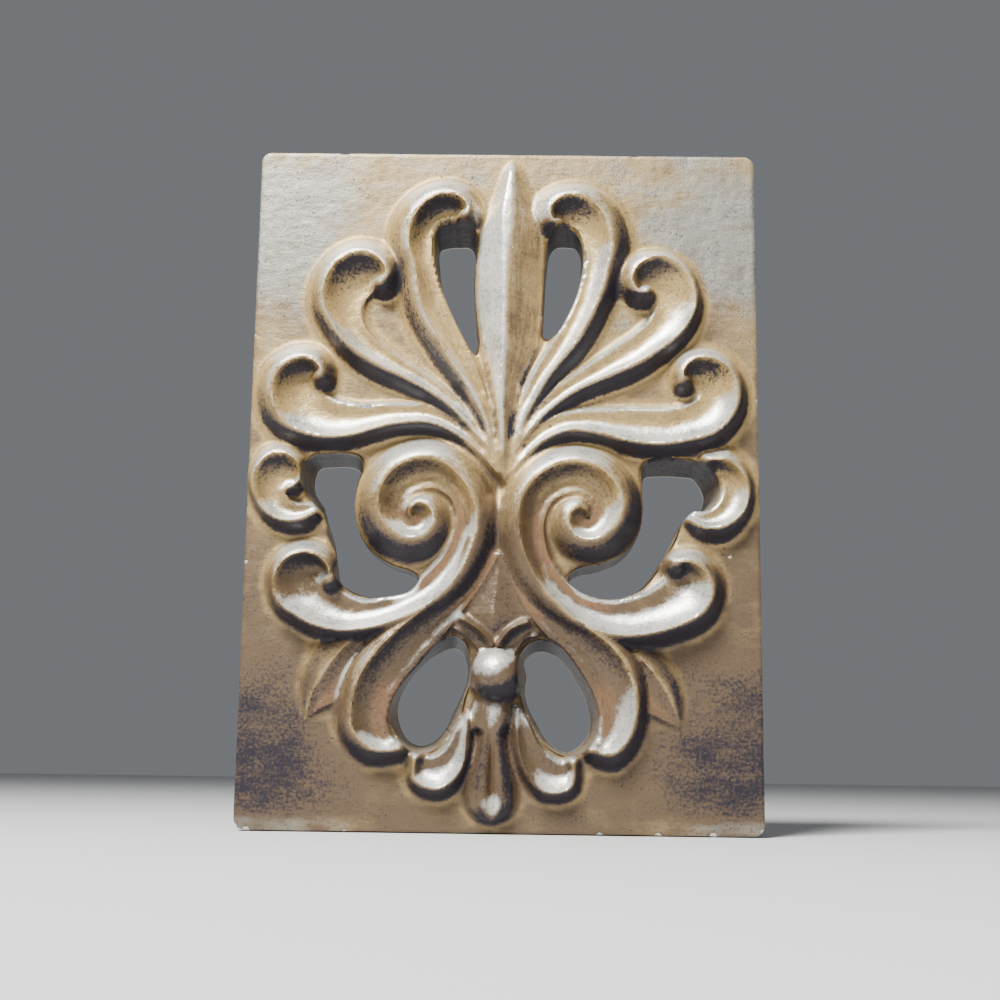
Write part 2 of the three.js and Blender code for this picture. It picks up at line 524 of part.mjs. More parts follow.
// A solid through like outlines, one behind the other, from the back to the front.
function prism(rings) {
  const sides = rings[0].length;
  const flat = (ring) => ring.map((point) => new THREE.Vector2(point.x, point.z));
  const last = (rings.length - 1) * sides;
  const index = THREE.ShapeUtils.triangulateShape(flat(rings[0]), []).flat();
  THREE.ShapeUtils.triangulateShape(flat(rings.at(-1)), []).forEach(([a, b, c]) => {
    index.push(a + last, c + last, b + last);
  });
  const turn = THREE.ShapeUtils.area(flat(rings[0])) > 0;
  for (let k = 0; k < last; k++) {
    const next = k - (k % sides) + ((k + 1) % sides);
    const quad = [k, k + sides, next, next, k + sides, next + sides];
    index.push(...(turn ? quad : quad.reverse()));
  }
  const geometry = new THREE.BufferGeometry().setFromPoints(rings.flat());
  geometry.setIndex(index);
  return solidOf(geometry);
}

function plaque() {
  let body = panel();
  for (const shape of [...LEAVES, ...SCROLLS, ...STEMS, ...SMALL_LEAVES]) body = body.add(leaf(shape));
  for (const extra of [spear(), bud(), ball(), field()]) body = body.add(extra);
  for (const lines of OPENINGS) body = body.subtract(opening(lines));
  // Crossing leaves seal a tiny hollow at the fan's root, so only the largest shell is kept.
  const [shell] = body.decompose().sort((a, b) => b.volume() - a.volume());
  const made = shell.getMesh();
  const geometry = new THREE.BufferGeometry();
  geometry.setAttribute("position", new THREE.BufferAttribute(made.vertProperties, 3));
  geometry.setIndex(new THREE.BufferAttribute(made.triVerts, 1));
  geometry.computeVertexNormals();
  return geometry;
}

const bronze = new THREE.MeshStandardMaterial({ color: 0xa58a62, roughness: 0.55, metalness: 0.35 });
const casting = new THREE.Mesh(plaque(), bronze);
casting.name = "plaque";

const group = new THREE.Group();
group.add(casting);

export default group;
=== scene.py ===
"""Wall plaque: a cast plaster panel with a raised, pierced palmette under an aged bronze and silver paint.

Metres, +Z up, the front faces -Y, and the origin is the centre of the flat back. The carving is drawn in
millimetres as [x, z] places on the panel, with heights counted from the panel's front face.
"""

import math

import bmesh
import bpy
import numpy as np
from mathutils import Matrix, Vector, kdtree, noise
from mathutils.bvhtree import BVHTree


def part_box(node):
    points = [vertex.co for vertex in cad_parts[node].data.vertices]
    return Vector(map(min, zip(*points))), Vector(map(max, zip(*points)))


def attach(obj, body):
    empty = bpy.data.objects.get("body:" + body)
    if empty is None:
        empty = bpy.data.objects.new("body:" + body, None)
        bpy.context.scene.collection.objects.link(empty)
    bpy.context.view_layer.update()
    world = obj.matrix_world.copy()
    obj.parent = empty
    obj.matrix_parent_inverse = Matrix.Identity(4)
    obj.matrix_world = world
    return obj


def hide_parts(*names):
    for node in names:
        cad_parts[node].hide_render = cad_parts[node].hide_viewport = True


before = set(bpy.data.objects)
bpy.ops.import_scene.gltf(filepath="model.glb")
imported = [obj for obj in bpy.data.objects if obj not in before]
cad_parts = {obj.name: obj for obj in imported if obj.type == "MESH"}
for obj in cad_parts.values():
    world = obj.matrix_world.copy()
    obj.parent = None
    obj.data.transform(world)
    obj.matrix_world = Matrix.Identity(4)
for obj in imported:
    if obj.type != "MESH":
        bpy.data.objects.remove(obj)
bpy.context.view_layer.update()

bl_info = {
    "name": "Pierced palmette plaque",
    "version": (1, 0, 0),
    "blender": (4, 5, 0),
    "location": "View3D > Sidebar > Plaque",
    "description": "Carves, paints and lights a cast plaster wall plaque around its packed solid",
    "category": "Object",
}

MM = 0.001
LOW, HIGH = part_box("plaque")
PANEL_WIDTH = (HIGH[0] - LOW[0]) / MM
PANEL_HEIGHT = (HIGH[2] - LOW[2]) / MM
PANEL_THICKNESS = 20.0
CORNER_RADIUS = 4.2
RELIEF_HEIGHT = 9.5
OPENING_FRONT = 3.0
LIP_RISE = (0.38, 0.38, 0.32, 0.24, 0.24)
CURL_STEPS = 8
HOLLOW_POWER = 3.2
HOLLOW_DIP = 0.3
SLOPE_POWER = 1.8
SKIRT = 1.2
LIP_GAP = 3
CHIP_DEPTH = 0.7
FAN_ROOT_HEIGHT = 10
FAN_ROOT_REACH = (27, 14)
BACK_BEVEL = 0.7
WALL_SHARES = (1, 0.8, 0.55, 0.25, 0)
SIDE_RINGS = ((PANEL_THICKNESS - 3, 0), (0.62 * PANEL_THICKNESS, 0), (BACK_BEVEL, 0), (0, BACK_BEVEL))
# The direction of the light whose highlight and shade are painted into the colours: it falls from above and from
# the left.
LIGHT_DOWN, LIGHT_RIGHT = 0.9, 0.34

# A rib is a leaf's crest: a pair is a waypoint, and six numbers are a spiral's centre, its first and last
# radius and its first and last angle in degrees. The lip is the inner edge of the hollow beside it, with its
# points spread evenly over the rib. The flank is the width of the outer slope, spread in the same way, and so
# is the rise, the crest's height as a share of the relief height. The nose is the radius of the round end.
LEAVES = [
    {
        "rib": [(-1.6, 1.5), (-2.4, 6.2), (-3.7, 12.3), (-6.2, 21.4), (-9.9, 29.5), (-16.7, 39.4), (-21.7, 46.5),
            (-29.4, 60.9), (-14.2, 94.8, 26, 0.5, -134, -290)],
        "lip": [(-0.7, 0.2), (-2.8, 13.1), (-6.8, 31.1), (-13.8, 48.9), (-24.4, 73), (-26.3, 87.5), (-23, 93.5),
            (-19, 94.7), (-16.1, 95.1)],
        "flank": [1.2, 2.6, 4.4, 6.5, 8, 9, 8.6, 7.5, 5],
        "rise": [0.45, 0.72, 0.85, 0.95, 0.95],
        "nose": 4.6,
    },
    {
        "rib": [(1.7, 2), (6.3, 20.7), (14.9, 36.6), (26.2, 51.3), (34.1, 69), (16.1, 94.6, 26.5, -3, -42, 128)],
        "lip": [(1.5, 4), (7.7, 32.3), (21.9, 58.9), (27.8, 77), (27.8, 87.3), (24.5, 93), (19.3, 93.4)],
        "flank": [1.5, 5, 6, 7.8, 8.6, 7.5, 7.5, 4.5],
        "rise": [0.45, 0.75, 0.95, 0.95],
        "nose": 4,
    },
    {
        "rib": [(-2.4, 4.5), (-4.3, 8.7), (-9.7, 16.5), (-15.3, 22.8), (-22.5, 28.7), (-32.7, 34.7), (-42.5, 39.2),
            (-50.9, 44), (-47.7, 69.6, 20.2, 4, -128, -356)],
        "lip": [(-1.9, 5.5), (-8.2, 17.4), (-20, 31.2), (-40.5, 45.4), (-50, 54.5), (-51.2, 60.4), (-50.4, 63.8),
            (-48.4, 67), (-45.3, 69.2)],
        "flank": [1.2, 3, 4.4, 5.5, 5.4, 6.4, 7.5, 7, 4.5],
        "rise": [0.45, 0.7, 0.82, 0.95, 0.95],
        "nose": 4.4,
    },
    {
        "rib": [(3, 7), (11, 20.1), (23.7, 31), (39.7, 38.7), (50.5, 44), (51.1, 68.9, 19, 2, -50, 232)],
        "lip": [(2.5, 9), (15.7, 29.7), (38.8, 47.7), (51, 57.6), (53, 62.5), (52.3, 65.5), (51, 66.6)],
        "flank": [1.5, 3.5, 5.8, 3.6, 3, 4.3, 5.6, 5.2, 4],
        "rise": [0.45, 0.7, 0.9, 0.95],
        "nose": 4,
    },
    {
        "rib": [(-1.8, 1.3), (-4.6, 4.7), (-9.5, 10.2), (-16.4, 15.9), (-26.5, 19.6), (-38.8, 18.7), (-52.8, 14.6),
            (-60.4, 13.7), (-67.8, 33, 18.7, 4.4, -86, -325)],
        "lip": [(-1.4, 2.2), (-7.2, 12.6), (-25.2, 25.1), (-53, 26), (-60, 27.7), (-64, 30.6), (-65.7, 32.8),
            (-65.9, 34.2), (-65.2, 35.4)],
        "flank": [1.2, 2.8, 3.4, 3.4, 4.6, 7.4, 7.8, 7, 4.5],
        "rise": [0.45, 0.68, 0.78, 0.92, 0.95],
        "nose": 4.4,
    },
    {
        "rib": [(1.7, 0.6), (4, 3.8), (8.9, 9.4), (15.1, 14.3), (23.1, 17.2), (33, 16.4), (43.3, 13.8), (54, 12.6),
            (67, 33.8, 19.9, 4.3, -97, 165)],
        "lip": [(1.5, 2.2), (6.8, 13), (20.5, 23.2), (41.5, 25.3), (60.5, 26), (67.4, 28.8), (68.9, 31.2),
            (67.6, 33.2), (65.3, 34.3)],
        "flank": [1.2, 2.8, 3, 4, 4.6, 4.7, 5.2, 5.2, 4],
        "rise": [0.45, 0.68, 0.78, 0.92, 0.95],
        "nose": 4,
    },
    {
        "rib": [(-64.5, -12.2), (-67.4, -13.8), (-70.4, -15.5), (-75.8, -16), (-82.5, -12.8), (-86.4, -6.6),
            (-86.6, 0.8), (-82.6, 6.2), (-77.8, 7.6), (-73.4, 5.9), (-70.8, 2), (-71.2, -2), (-74.7, -4.8)],
        "lip": [(-65.4, -9.4), (-70.4, -10.3), (-74.6, -8.2), (-76.4, -5.2), (-76.2, -3.6), (-75.4, -3.3),
            (-74.9, -4.3)],
        "flank": [3, 4.6, 3.4, 2, 3.2, 5, 3.6, 3, 2],
        "rise": [0.5, 0.72, 0.75, 0.75, 0.65],
        "nose": 2,
    },
    {
        "rib": [(73.2, -4.2, 12.8, 11.2, -139, 99)],
        "lip": [(65.4, -10.8), (70, -11.2), (74.2, -8.3), (76.2, -4), (76, 0), (73.6, 3), (71.8, 4.8)],
        "flank": [3, 4.2, 5.2, 3.4, 2.7, 3, 4.6, 6, 3.8],
        "rise": [0.5, 0.75, 0.75, 0.75],
        "nose": 3.6,
    },
]

# Each C-scroll runs from the eye of its volute, round and down, and ends in the curl of the lowest leaf.
SCROLLS = [
    {
        "rib": [(-30, -13.7, 1.5, 8.1, 200, -109), (-29.6, -11.8, 10.4, 17.6, -126, -275), (-22.7, 5.1),
            (-15.9, 0.4), (-11.2, -6.3), (-8.9, -14.5), (-10.3, -24.2), (-15.5, -35.5), (-24, -44),
            (-40.8, -52), (-55, -54), (-65, -51.8), (-67, -37.3, 12.2, 8.2, -103, -360)],
        "lip": [(-30.4, -13.8), (-30.2, -13.4), (-29.6, -13.5), (-30.2, -14.4), (-31.6, -14.2), (-33, -11.6),
            (-33.4, -9), (-32.4, -6.4), (-28.6, -4.4), (-24, -3.8), (-17.6, -8.2), (-16.6, -19),
            (-27, -34.6), (-47.5, -43.4), (-56.2, -39.6), (-60, -36.6), (-61.2, -35), (-61.2, -34.6),
            (-60.2, -35.8)],
        "flank": [0.8, 3.6, 6.2, 7.6, 9.2, 9.5, 9.2, 8.7, 8.8, 9, 9, 8, 4.5, 3.3, 3.4, 3, 5.4, 5, 4],
        "lip_rise": [0.3, 0.34, 0.38, 0.4, 0.4, 0.36, 0.32, 0.24, 0.22],
        "rise": [0.62, 0.78, 0.95, 1, 1, 0.95, 0.95, 0.92],
        "nose": 3.8,
    },
    {
        "rib": [(28.4, -13.5, 1.5, 8.7, 57, 300), (28.3, -12.8, 10.2, 22.3, -30, 171), (5.7, -17.4), (7.2, -25),
            (10.3, -32.5), (15.5, -39.9), (20.2, -45), (25.5, -49.5), (32.5, -52.6), (40, -54.6), (52, -53.5),
            (61, -50.6), (61.5, -38, 11, 8.4, -63, 100)],
        "lip": [(28.4, -13), (28.2, -13.4), (27.8, -13.8), (28.4, -14.6), (30, -14), (31, -11.6), (30.8, -9),
            (25.6, -5), (18.3, -7.2), (14.3, -15.5), (16.6, -28.2), (24.5, -38), (34, -42.3), (47.3, -40.6),
            (53.4, -37.6), (55.6, -35.8), (56.4, -34.4), (57, -32.8), (58.4, -31.2)],
        "flank": [1.5, 6, 8, 7.8, 8.6, 8.8, 8.7, 8.3, 8, 8.5, 8.5, 6, 3.6, 4.6, 5.6, 5.3, 6, 6.6, 5],
        "lip_rise": [0.3, 0.34, 0.38, 0.4, 0.4, 0.36, 0.32, 0.24, 0.22],
        "rise": [0.62, 0.78, 0.95, 1, 1, 0.95, 0.95, 0.92],
        "nose": 4.6,
    },
]

# The lower scrolls hang from the C-scrolls, whose crest is their upper rim, and curl inwards at the foot.
STEMS = [
    {
        "rib": [(-10, -21), (-15, -34), (-24, -44.5), (-38.2, -56.7), (-47.3, -69), (-50, -79), (-49.3, -87.5),
            (-43.5, -93), (-34, -93.7)],
        "lip": [(-0.9, -26.6), (-7.4, -38), (-16.1, -50.2), (-28, -64.8), (-35.3, -75), (-37.8, -81.5),
            (-38, -86.5), (-36.4, -90.4), (-33.8, -92.6)],
        "flank": [3, 3, 3.5, 6.5, 6.4, 6.4, 6.4, 6.6, 4.4],
        "rise": [0.9, 0.92, 0.92, 0.85, 0.8, 0.78],
        "nose": 3.6,
    },
    {
        "rib": [(7, -25), (15.2, -39.9), (25, -49.4), (37.3, -58.5), (44, -68), (45.8, -78), (43.5, -88.5),
            (38, -94), (31, -92.9)],
        "lip": [(0.4, -27.6), (6.9, -43.6), (18.6, -57.8), (26.6, -66), (31.4, -74.6), (33.2, -81.4),
            (33.5, -86.8), (32.6, -90.4), (30.9, -92)],
        "flank": [3, 3, 3.5, 6.5, 6, 4.6, 5, 6.2, 4.6],
        "rise": [0.9, 0.92, 0.92, 0.85, 0.8, 0.78],
        "nose": 3.6,
    },
]

# Two petals beside the bud, two straps over the ball and two bracts outside the lower scrolls. The edge is
# the height at which a bract's outer slope breaks off, and the hollow says how fast the inner one climbs.
SMALL_LEAVES = [
    {
        "rib": [(-11.8, -81.8), (-11.2, -88.1), (-13.1, -100.4), (-20.4, -106.5), (-28, -103.9), (-28.2, -96.3)],
        "lip": [(-13, -82.6), (-15.5, -88.3), (-19.1, -94.2), (-24.5, -96.6), (-27.4, -96.6)],
        "flank": [1.6, 2.2, 2.6, 4, 3.6, 3.2],
        "rise": [0.45, 0.62, 0.66, 0.6],
        "nose": 3,
    },
    {
        "rib": [(6.1, -78.9), (6.2, -87.9), (8.3, -98.5), (15.4, -107), (23.5, -105.9), (24.8, -97.3)],
        "lip": [(7, -80.4), (9.9, -85.2), (14.4, -93.4), (21.2, -98), (24.1, -97.8)],
        "flank": [1.6, 2.2, 2.6, 3.4, 3.6, 3.2],
        "rise": [0.45, 0.62, 0.66, 0.6],
        "nose": 3,
    },
    {
        "rib": [(-14.1, -49.2), (-7.2, -53.6), (-2.7, -58.6)],
        "lip": [(-16.5, -52.3), (-11.3, -55.5), (-6.6, -61)],
        "flank": [2, 2, 2],
        "rise": [0.72, 0.7, 0.66],
    },
    {
        "rib": [(9.5, -50.3), (3.1, -53.1), (-1.3, -58.6)],
        "lip": [(13, -54.6), (8.2, -56), (4.6, -61)],
        "flank": [2, 2, 2],
        "rise": [0.72, 0.7, 0.66],
    },
    {
        "rib": [(-65.9, -83), (-65.2, -78.6), (-63.9, -74.9), (-61.6, -70.5), (-58.6, -65.7), (-54.7, -60.9),
            (-49.7, -56)],
        "lip": [(-65.8, -83.4), (-63.6, -81.9), (-60.5, -80), (-55.4, -77.1), (-52.5, -70.5), (-48.5, -64),
            (-43, -58)],
        "flank": [0.5, 2.9, 5, 7.3, 8.4, 9, 8.8],
        "lip_rise": [0.12, 0.22, 0.22],
        "rise": [0.14, 0.3, 0.38, 0.42, 0.42],
        "edge": 0.1,
        "hollow": 1.3,
    },
    {
        "rib": [(61.1, -85), (59.5, -80), (57.8, -75.7), (55.7, -71.7), (52.6, -67.7), (49.3, -64), (45.5, -60.3)],
        "lip": [(60.9, -85.3), (58.5, -84.2), (55, -82.6), (49.4, -79.4), (47, -73), (43.5, -67), (38.5, -61.5)],
        "flank": [0.5, 2.6, 4.4, 5.8, 6.4, 6.6, 6.5],
        "lip_rise": [0.12, 0.22, 0.22],
        "rise": [0.14, 0.3, 0.38, 0.42, 0.42],
        "edge": 0.1,
        "hollow": 1.3,
    },
]

# The spear in the middle, in rows from the tip down: z, left edge, ridge, right edge, ridge's rise, edge's
# rise, and the width of the flat that runs along the ridge.
SPEAR = [
    (118.4, 1.2, 1.8, 2.4, 0.04, 0, 0.3),
    (113.5, -0.5, 1.5, 5.4, 0.42, 0, 2),
    (101.9, -4.7, 0.6, 11, 0.7, 0.03, 3.2),
    (96.2, -6.4, 0.3, 12.8, 0.75, 0.06, 4),
    (90, -9.2, 0.3, 13.9, 0.76, 0.12, 3.2),
    (79, -10.1, -0.2, 14, 0.78, 0.16, 1.6),
    (64, -9.4, -0.1, 13.2, 0.76, 0.2, 0.9),
    (48.4, -7.8, -0.3, 11.4, 0.72, 0.24, 0.7),
    (35, -4.9, -1, 5.6, 0.68, 0.3, 0.7),
    (24.4, -3.5, -1.2, 4.2, 0.66, 0.32, 0.6),
    (8.2, -1.5, -0.5, 2.7, 0.58, 0.36, 0.4),
    (-1.5, -0.3, 0.2, 0.9, 0.5, 0.4, 0.2),
]

# The bud below the ball: rows from the collar down: z, left edge, right edge, rise of the lobes, groove.
BUD = [
    (-76, -8.2, 4.6, 0.5, 0),
    (-82, -9.8, 4.8, 0.6, 0),
    (-86, -10.4, 3.8, 0.58, 0),
    (-88.4, -7, 1.8, 0.56, 0.03),
    (-94, -8.3, 2.9, 0.6, 0.14),
    (-99.5, -10.2, 4.3, 0.66, 0.24),
    (-104.3, -11.5, 5.7, 0.7, 0.28),
    (-109.2, -11.9, 6.1, 0.72, 0.28),
    (-113, -11, 5.5, 0.66, 0.2),
    (-115.8, -8.6, 3.4, 0.5, 0.1),
    (-117.6, -5.4, -0.6, 0.26, 0.03),
    (-118.6, -4, -2.6, 0.02, 0),
]
LOBE = [(0, 0), (0.08, 0.62), (0.26, 1), (0.42, 0.9)]

BALL = {"x": -1.2, "z": -68.4, "radius": 9.1, "rise": 0.3}

# The pointed field between the two C-scrolls, a low pyramid: its outline and its peak.
FIELD = {"outline": [(-0.6, -25), (-12.1, -47.6), (-2, -58.5), (9.5, -49.4)], "peak": (-3, -48.8), "rise": 0.62}
FIELD_RIM = 0.24

# Small chips that bare the plaster, each (x, z, radius).
CHIPS = [
    (33.9, -121.2, 0.9), (53.7, -121.3, 1.1), (72.2, -121.2, 1.2), (89.2, -119.6, 1), (-52.1, -121.2, 0.8),
    (-85.5, -121.2, 1.2), (-89.6, -119.8, 1), (-59.5, 121.2, 0.9), (46.6, 121.3, 1), (79.2, -26.3, 0.6),
    (89.6, 30, 0.7), (-89.7, 52, 0.7), (-89.6, -30, 0.8),
]

# Each opening is a smooth closed line at the back and another one in front, at the height of the lips.
OPENINGS = [
    {
        "front": [(-25, 91.8), (-21.5, 94.1), (-16.8, 94.5), (-11.7, 92.7), (-9.8, 86.3), (-10.8, 79.1),
            (-11.2, 70.5), (-10.3, 59.3), (-9.2, 49.4), (-10.6, 45.3), (-13.5, 48.9), (-17.5, 56.3),
            (-21.3, 64.8), (-24.3, 74.1), (-26, 83.5)],
        "back": [(-24.7, 90.6), (-21.3, 92), (-17.6, 92.2), (-13.8, 92.1), (-11.9, 89.5), (-11.6, 79),
            (-11.6, 70), (-10.8, 59), (-10, 50.4), (-11.2, 47), (-13.6, 50.2), (-17.3, 57), (-20.8, 66),
            (-23.6, 75), (-24.8, 84)],
    },
    {
        "front": [(15, 88.4), (17.8, 92.2), (22.2, 93), (25.4, 90.8), (27.6, 85.9), (28, 80.3), (26.9, 72.8),
            (24.8, 65.3), (21.6, 58.2), (18.1, 53), (15.3, 51.1), (13.3, 52.2), (13.1, 58.5), (13.4, 68.9),
            (14, 79.4)],
        "back": [(16.3, 89.8), (18.5, 92.4), (22, 92.8), (25.6, 92.2), (27.6, 88.6), (27.6, 82), (26.6, 75),
            (24.6, 67.4), (21.6, 59.8), (18.2, 54.2), (15.6, 52.2), (14, 53.4), (13.9, 60), (14.4, 71),
            (15, 82)],
    },
    {
        "front": [(-70.3, 4.5), (-67.6, 8.1), (-61.7, 9.2), (-55.7, 9.3), (-50.4, 7.9), (-49.2, 4), (-50.8, -1),
            (-51.8, -8.1), (-51.1, -15.2), (-48.8, -21.9), (-44.1, -27.1), (-38.1, -30.7), (-31.8, -32.7),
            (-28.5, -35.2), (-31.5, -39.6), (-38.5, -41.8), (-46, -42.1), (-53.4, -39.4), (-57.8, -34.6),
            (-57.2, -29.3), (-60.3, -21.7), (-62.4, -13.6), (-67.7, -8), (-70.8, -3)],
        "back": [(-68.6, 3.2), (-66.9, 6.8), (-61.8, 7.7), (-56.3, 7.8), (-52.6, 6.4), (-51, 2.4), (-51.9, -2.6),
            (-52.3, -8.5), (-51.4, -15.2), (-49, -21.7), (-44.3, -26.7), (-38.3, -30.2), (-32.2, -32.4),
            (-29.5, -35), (-32, -38.8), (-38.5, -41), (-45.8, -41.2), (-52.8, -38.6), (-58, -34.6),
            (-59.3, -28.5), (-60.6, -21), (-63.2, -13.4), (-64.8, -7.8), (-68.2, -2.4)],
    },
    {
        "front": [(48.2, 4.4), (50, 7.7), (54.9, 8.8), (61.9, 8.7), (67.5, 7.9), (72, 5.4), (75.1, 2.3),
            (76.4, -2), (75.7, -6.3), (72.8, -9.7), (66.2, -11), (62.4, -15.4), (60, -21), (56.2, -27.6),
            (52.3, -33.6), (47.6, -38.6), (41.5, -41.4), (35.7, -41.7), (29.8, -40.4), (25.3, -38.1),
            (22.4, -34.3), (26, -31.1), (34.9, -28.9), (40.8, -26.4), (45.7, -22.1), (48.1, -16.8),
            (49, -10.5), (48.7, -3.4)],
        "back": [(50.4, 2.4), (51.5, 5), (55.2, 5.6), (60, 5.7), (64.3, 5.5), (68.7, 4.8), (70.8, 2.2),
            (72.2, -0.7), (72.6, -3.3), (71, -7.5), (65.6, -10.8), (62, -15), (59.6, -20.8), (55.8, -27.2),
            (52, -33), (47.4, -38), (41.3, -40.8), (35.7, -41.1), (30, -39.8), (25.9, -37.6), (23.2, -34.5),
            (26.2, -31.7), (34.7, -29.6), (40.6, -27), (45.4, -22.6), (47.9, -17.2), (49.2, -10.5),
            (49.6, -3.4)],
    },
    {
        "front": [(-16.5, -54.4), (-12.7, -56.5), (-10.6, -60.9), (-9.8, -66), (-10.4, -71.5), (-12, -76.6),
            (-12.9, -81.3), (-15.9, -87.1), (-19.2, -92.1), (-23.5, -94.9), (-29, -95.1), (-33.1, -92.3),
            (-36.3, -88.3), (-38.1, -84), (-37.2, -78.2), (-34.3, -72.4), (-27.6, -64.5), (-22.3, -58)],
        "back": [(-17.3, -57.8), (-14.4, -59.2), (-12.2, -63.5), (-12.1, -68.8), (-13.8, -74.1), (-16.2, -79.4),
            (-19.6, -86.5), (-24.1, -91.1), (-28.3, -92.2), (-32.3, -90.5), (-34.9, -86.7), (-36.4, -80.4),
            (-35.2, -74.4), (-30.7, -67.2), (-24.4, -61.1)],
    },
    {
        "front": [(13.7, -55.6), (9.3, -57.2), (6.6, -60.7), (5.6, -65.5), (6, -70.6), (7.1, -76.7), (10.2, -84),
            (14, -90.7), (18.1, -94), (22.5, -95.6), (27.3, -94.9), (31.3, -91.5), (33.4, -87.4),
            (33.7, -81.4), (31.6, -74.6), (27.2, -66.9), (22.3, -60.1), (18.2, -56.8)],
        "back": [(14.2, -58.5), (10.2, -60), (8.1, -62.8), (9.1, -67.1), (8.6, -72.1), (9.4, -77.3), (13, -84.3),
            (16.9, -90.2), (21.2, -93.3), (23.6, -94), (27.2, -92.2), (31, -87.6), (31.7, -82.3),
            (29.9, -75.3), (25.6, -67.6), (21, -61.2)],
    },
]


def spiral(part):
    """The waypoints of a spiral given by its centre, two radii and two angles."""
    x, z, first, last, start, end = part
    share = np.linspace(0, 1, CURL_STEPS + 1)
    angle = np.radians(start + (end - start) * share)
    radius = first + (last - first) * share
    return np.stack([x + radius * np.cos(angle), z + radius * np.sin(angle)], 1)


def waypoints(parts):
    """The points of a line that is given as waypoints and spirals."""
    return np.vstack([[part] if len(part) == 2 else spiral(part) for part in parts]).astype(float)


def smooth_line(points, share, closed=False):
    """Places on the centripetal curve through the points, at shares counted in waypoints."""
    points = np.asarray(points, float)
    if closed:
        padded = np.vstack([points[-1], points, points[0], points[1]])
    else:
        padded = np.vstack([2 * points[0] - points[1], points, 2 * points[-1] - points[-2]])
    spans = len(padded) - 3
    at = np.clip(share, 0, 1) * spans
    first = np.minimum(at.astype(int), spans - 1)
    part = at - first
    a, b, c, d = (padded[first + k] for k in range(4))
    reach = [np.sqrt(np.maximum(np.linalg.norm(q - p, axis=1), 1e-6)) for p, q in ((a, b), (b, c), (c, d))]
    tb = reach[0]
    tc = tb + reach[1]
    td = tc + reach[2]
    s = tb + (tc - tb) * part

    def mix(p, q, t0, t1):
        return ((t1 - s) / (t1 - t0))[:, None] * p + ((s - t0) / (t1 - t0))[:, None] * q

    ab, bc, cd = mix(a, b, 0 * tb, tb), mix(b, c, tb, tc), mix(c, d, tc, td)
    return mix(mix(ab, bc, 0 * tb, tc), mix(bc, cd, tb, td), tb, tc)


def along(values, share):
    """A value of a list that is spread evenly over 0 to 1."""
    return np.interp(share, np.linspace(0, 1, len(values)), values)


def leaf_lines(shape, share):
    """The crest, lip and outward direction of a leaf at shares of its rib."""
    rib = waypoints(shape["rib"])
    crest = smooth_line(rib, share)
    inner = smooth_line(shape["lip"], share)
    step = 0.004
    ahead = smooth_line(rib, np.clip(share + step, 0, 1)) - smooth_line(rib, np.clip(share - step, 0, 1))
    ahead /= np.linalg.norm(ahead, axis=1)[:, None]
    out = np.stack([-ahead[:, 1], ahead[:, 0]], 1)
    lean = np.sign(((crest - inner) * out).sum())
    return crest, inner, out * lean


